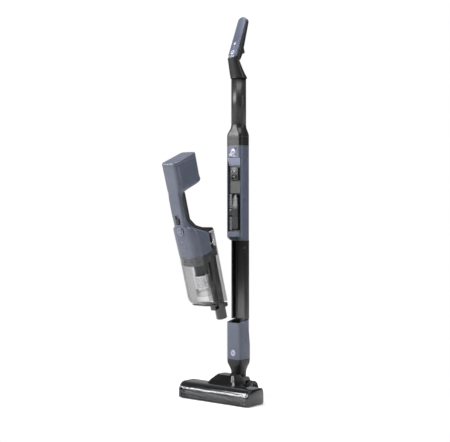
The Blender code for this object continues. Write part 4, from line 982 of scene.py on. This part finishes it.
def make_tool_bristles():
    """The bristles of the stored tool, in two rows."""
    corner = Vector(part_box("brush_tool")[0])
    strands = bmesh.new()
    for column in range(13):
        for row in range(2):
            root = corner + Vector(((1.2 + column * 1.7) * MM, (0.5 + row * 1.4) * MM, 36 * MM))
            add_strand(strands, root, 33 * MM, random.uniform(-0.3, 0.3) * MM)
    add_piece("tool_strands", strands, "bristle_dark_and_shade", "tool")


def make_pocket_plates():
    """The pale ribbed plates at the left side of the tool's pocket."""
    left, right = -20 * MM, -11 * MM
    ribs = 4
    for low, high in ((481.5 * MM, 520.5 * MM), (545.5 * MM, 586 * MM)):
        plate = box_mesh((left, STICK_FRONT_Y + 8 * MM, low), (right, STICK_FRONT_Y + 21 * MM, high))
        add_bevel(add_piece("pocket_plate", plate, "pale_grey", "stick"), 0.8 * MM)
        for k in range(ribs):
            z = low + (high - low) * (k + 1) / (ribs + 1)
            rib = box_mesh((left + 1 * MM, STICK_FRONT_Y + 7.2 * MM, z - 0.6 * MM),
                           (right - 1 * MM, STICK_FRONT_Y + 8.3 * MM, z + 0.6 * MM))
            add_bevel(add_piece("pocket_rib", rib, "pale_grey", "stick"), 0.3 * MM)


def ring_seam(outline, height):
    """A fine raised line round an outline."""
    centre = sum(outline, Vector((0, 0))) / len(outline)
    wider = [centre + (p - centre) * 1.004 for p in outline]
    return loft_mesh([at_height(outline, height - 0.5 * MM), at_height(wider, height - 0.3 * MM),
                      at_height(wider, height + 0.3 * MM), at_height(outline, height + 0.5 * MM)])


def blended(outline, other, share):
    return [a.lerp(b, share) for a, b in zip(outline, other)]


def tube_outline():
    return box_outline(TUBE_HALF, STICK_Y - TUBE_DEPTH / 2, STICK_Y + TUBE_DEPTH / 2, TUBE_CORNER, 10)


def make_collar():
    """The collar over the blue band, which draws in to the tube."""
    wide = box_outline(STICK_HALF, STICK_FRONT_Y, STICK_BACK_Y, STICK_CORNER, 10)
    rings = []
    for height, share in ((BAND_TOP + GAP, 0), (BAND_TOP + 14 * MM, 0), (COLLAR_TOP, 0),
                          (COLLAR_TOP + 7 * MM, 0.1), (COLLAR_TOP + 15 * MM, 0.45),
                          (CONE_TOP - 9 * MM, 0.85), (CONE_TOP, 1)):
        rings.append(at_height(blended(wide, tube_outline(), share), height))
    collar = add_piece("collar_skin", loft_mesh(smooth_rows(rings, 4)), "charcoal", "stick", smooth=50)
    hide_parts("tube_collar")
    add_piece("collar_seam", ring_seam(wide, COLLAR_TOP - 1 * MM), "icon", "stick")


def make_tube():
    rows = [at_height(tube_outline(), height) for height in (CONE_TOP + GAP, TUBE_TOP)]
    skin = add_piece("tube_skin", loft_mesh(rows, capped=False), "charcoal", "stick", smooth=50)
    add_wall(skin, WALL)
    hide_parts("upper_tube")


def make_neck():
    """The tube bends forward and ends in a slanted rim under the grip."""
    def slant(x, y):
        return (NECK_SEAT - (y - GRIP_Y) * math.sin(GRIP_LEAN)) / math.cos(GRIP_LEAN)

    half_depth = 11.5 * MM
    top = box_outline(15 * MM, GRIP_Y - half_depth, GRIP_Y + half_depth, 11 * MM, 10)
    start = TUBE_TOP + 3 * MM
    rings = [at_height(tube_outline(), TUBE_TOP + GAP)]
    for share in (0, 0.15, 0.4, 0.75, 1):
        base = start + (NECK_TOP - start) * share
        outline = blended(tube_outline(), top, share)
        rings.append(at_height(outline, lambda x, y: base + share * slant(x, y)))
    skin = add_piece("neck_skin", loft_mesh(smooth_rows(rings, 4), capped=False), "charcoal", "stick",
                     smooth=50)
    add_wall(skin, WALL)
    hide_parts("handle_neck")


def make_screws():
    """Four cross-head screws in the rail's flanges."""
    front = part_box("rail_channel")[0][1]
    radius, depth = 1.9 * MM, -0.8 * MM
    profile = [(0, 0.25 * MM), (1.4 * MM, 0.2 * MM), (radius, 0), (radius, depth), (0, depth)]
    for x in (-RAIL_SCREW_X, RAIL_SCREW_X):
        for z in (315 * MM, 430 * MM):
            place = Matrix.Translation((x, front, z)) @ FACE_FRONT
            add_piece("screw_head", turned_mesh(profile, 32, closed=False), "charcoal", "stick", place)
            for turn in (0, math.pi / 2):
                slot = box_mesh((-1.1 * MM, -0.22 * MM, 0.05 * MM), (1.1 * MM, 0.22 * MM, 0.3 * MM))
                add_piece("screw_slot", slot, "icon", "stick", place @ Matrix.Rotation(turn, 4, "Z"))


def make_contacts():
    """Two charging pins on the contact block, with the charge light between them."""
    low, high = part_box("contact_block")
    radius, depth = 1.4 * MM, -0.5 * MM
    profile = [(0, 1.3 * MM), (1 * MM, 1.1 * MM), (radius, 0.4 * MM), (radius, depth), (0, depth)]
    for x, look in ((-8 * MM, "steel"), (0, "light"), (8 * MM, "steel")):
        place = Matrix.Translation((x, low[1], high[2] - 11 * MM)) @ FACE_FRONT
        socket = ring_mesh(1.9 * MM, 3.2 * MM, depth, 0.7 * MM, 32)
        add_piece("contact_ring", socket, "gloss_black", "stick", place)
        add_piece("contact_pin", turned_mesh(profile, 32, closed=False), look, "stick", place)


# ---------------------------------------------------------------- assembly

bpy.context.scene.view_settings.view_transform = "Standard"
make_camera()
make_floor()
make_world()
make_lights()
make_refined_pieces()
make_casing()
make_lining()
make_head_cap()
make_bin()
make_collar_clips()
make_cyclone()
make_stick_buttons()
make_grip_buttons()
make_cleaner_button()
make_indicator_marks()
make_body_marks()
make_wheels()
make_bristles()
make_tool_bristles()
make_pocket_plates()
make_collar()
make_tube()
make_neck()
make_screws()
make_contacts()
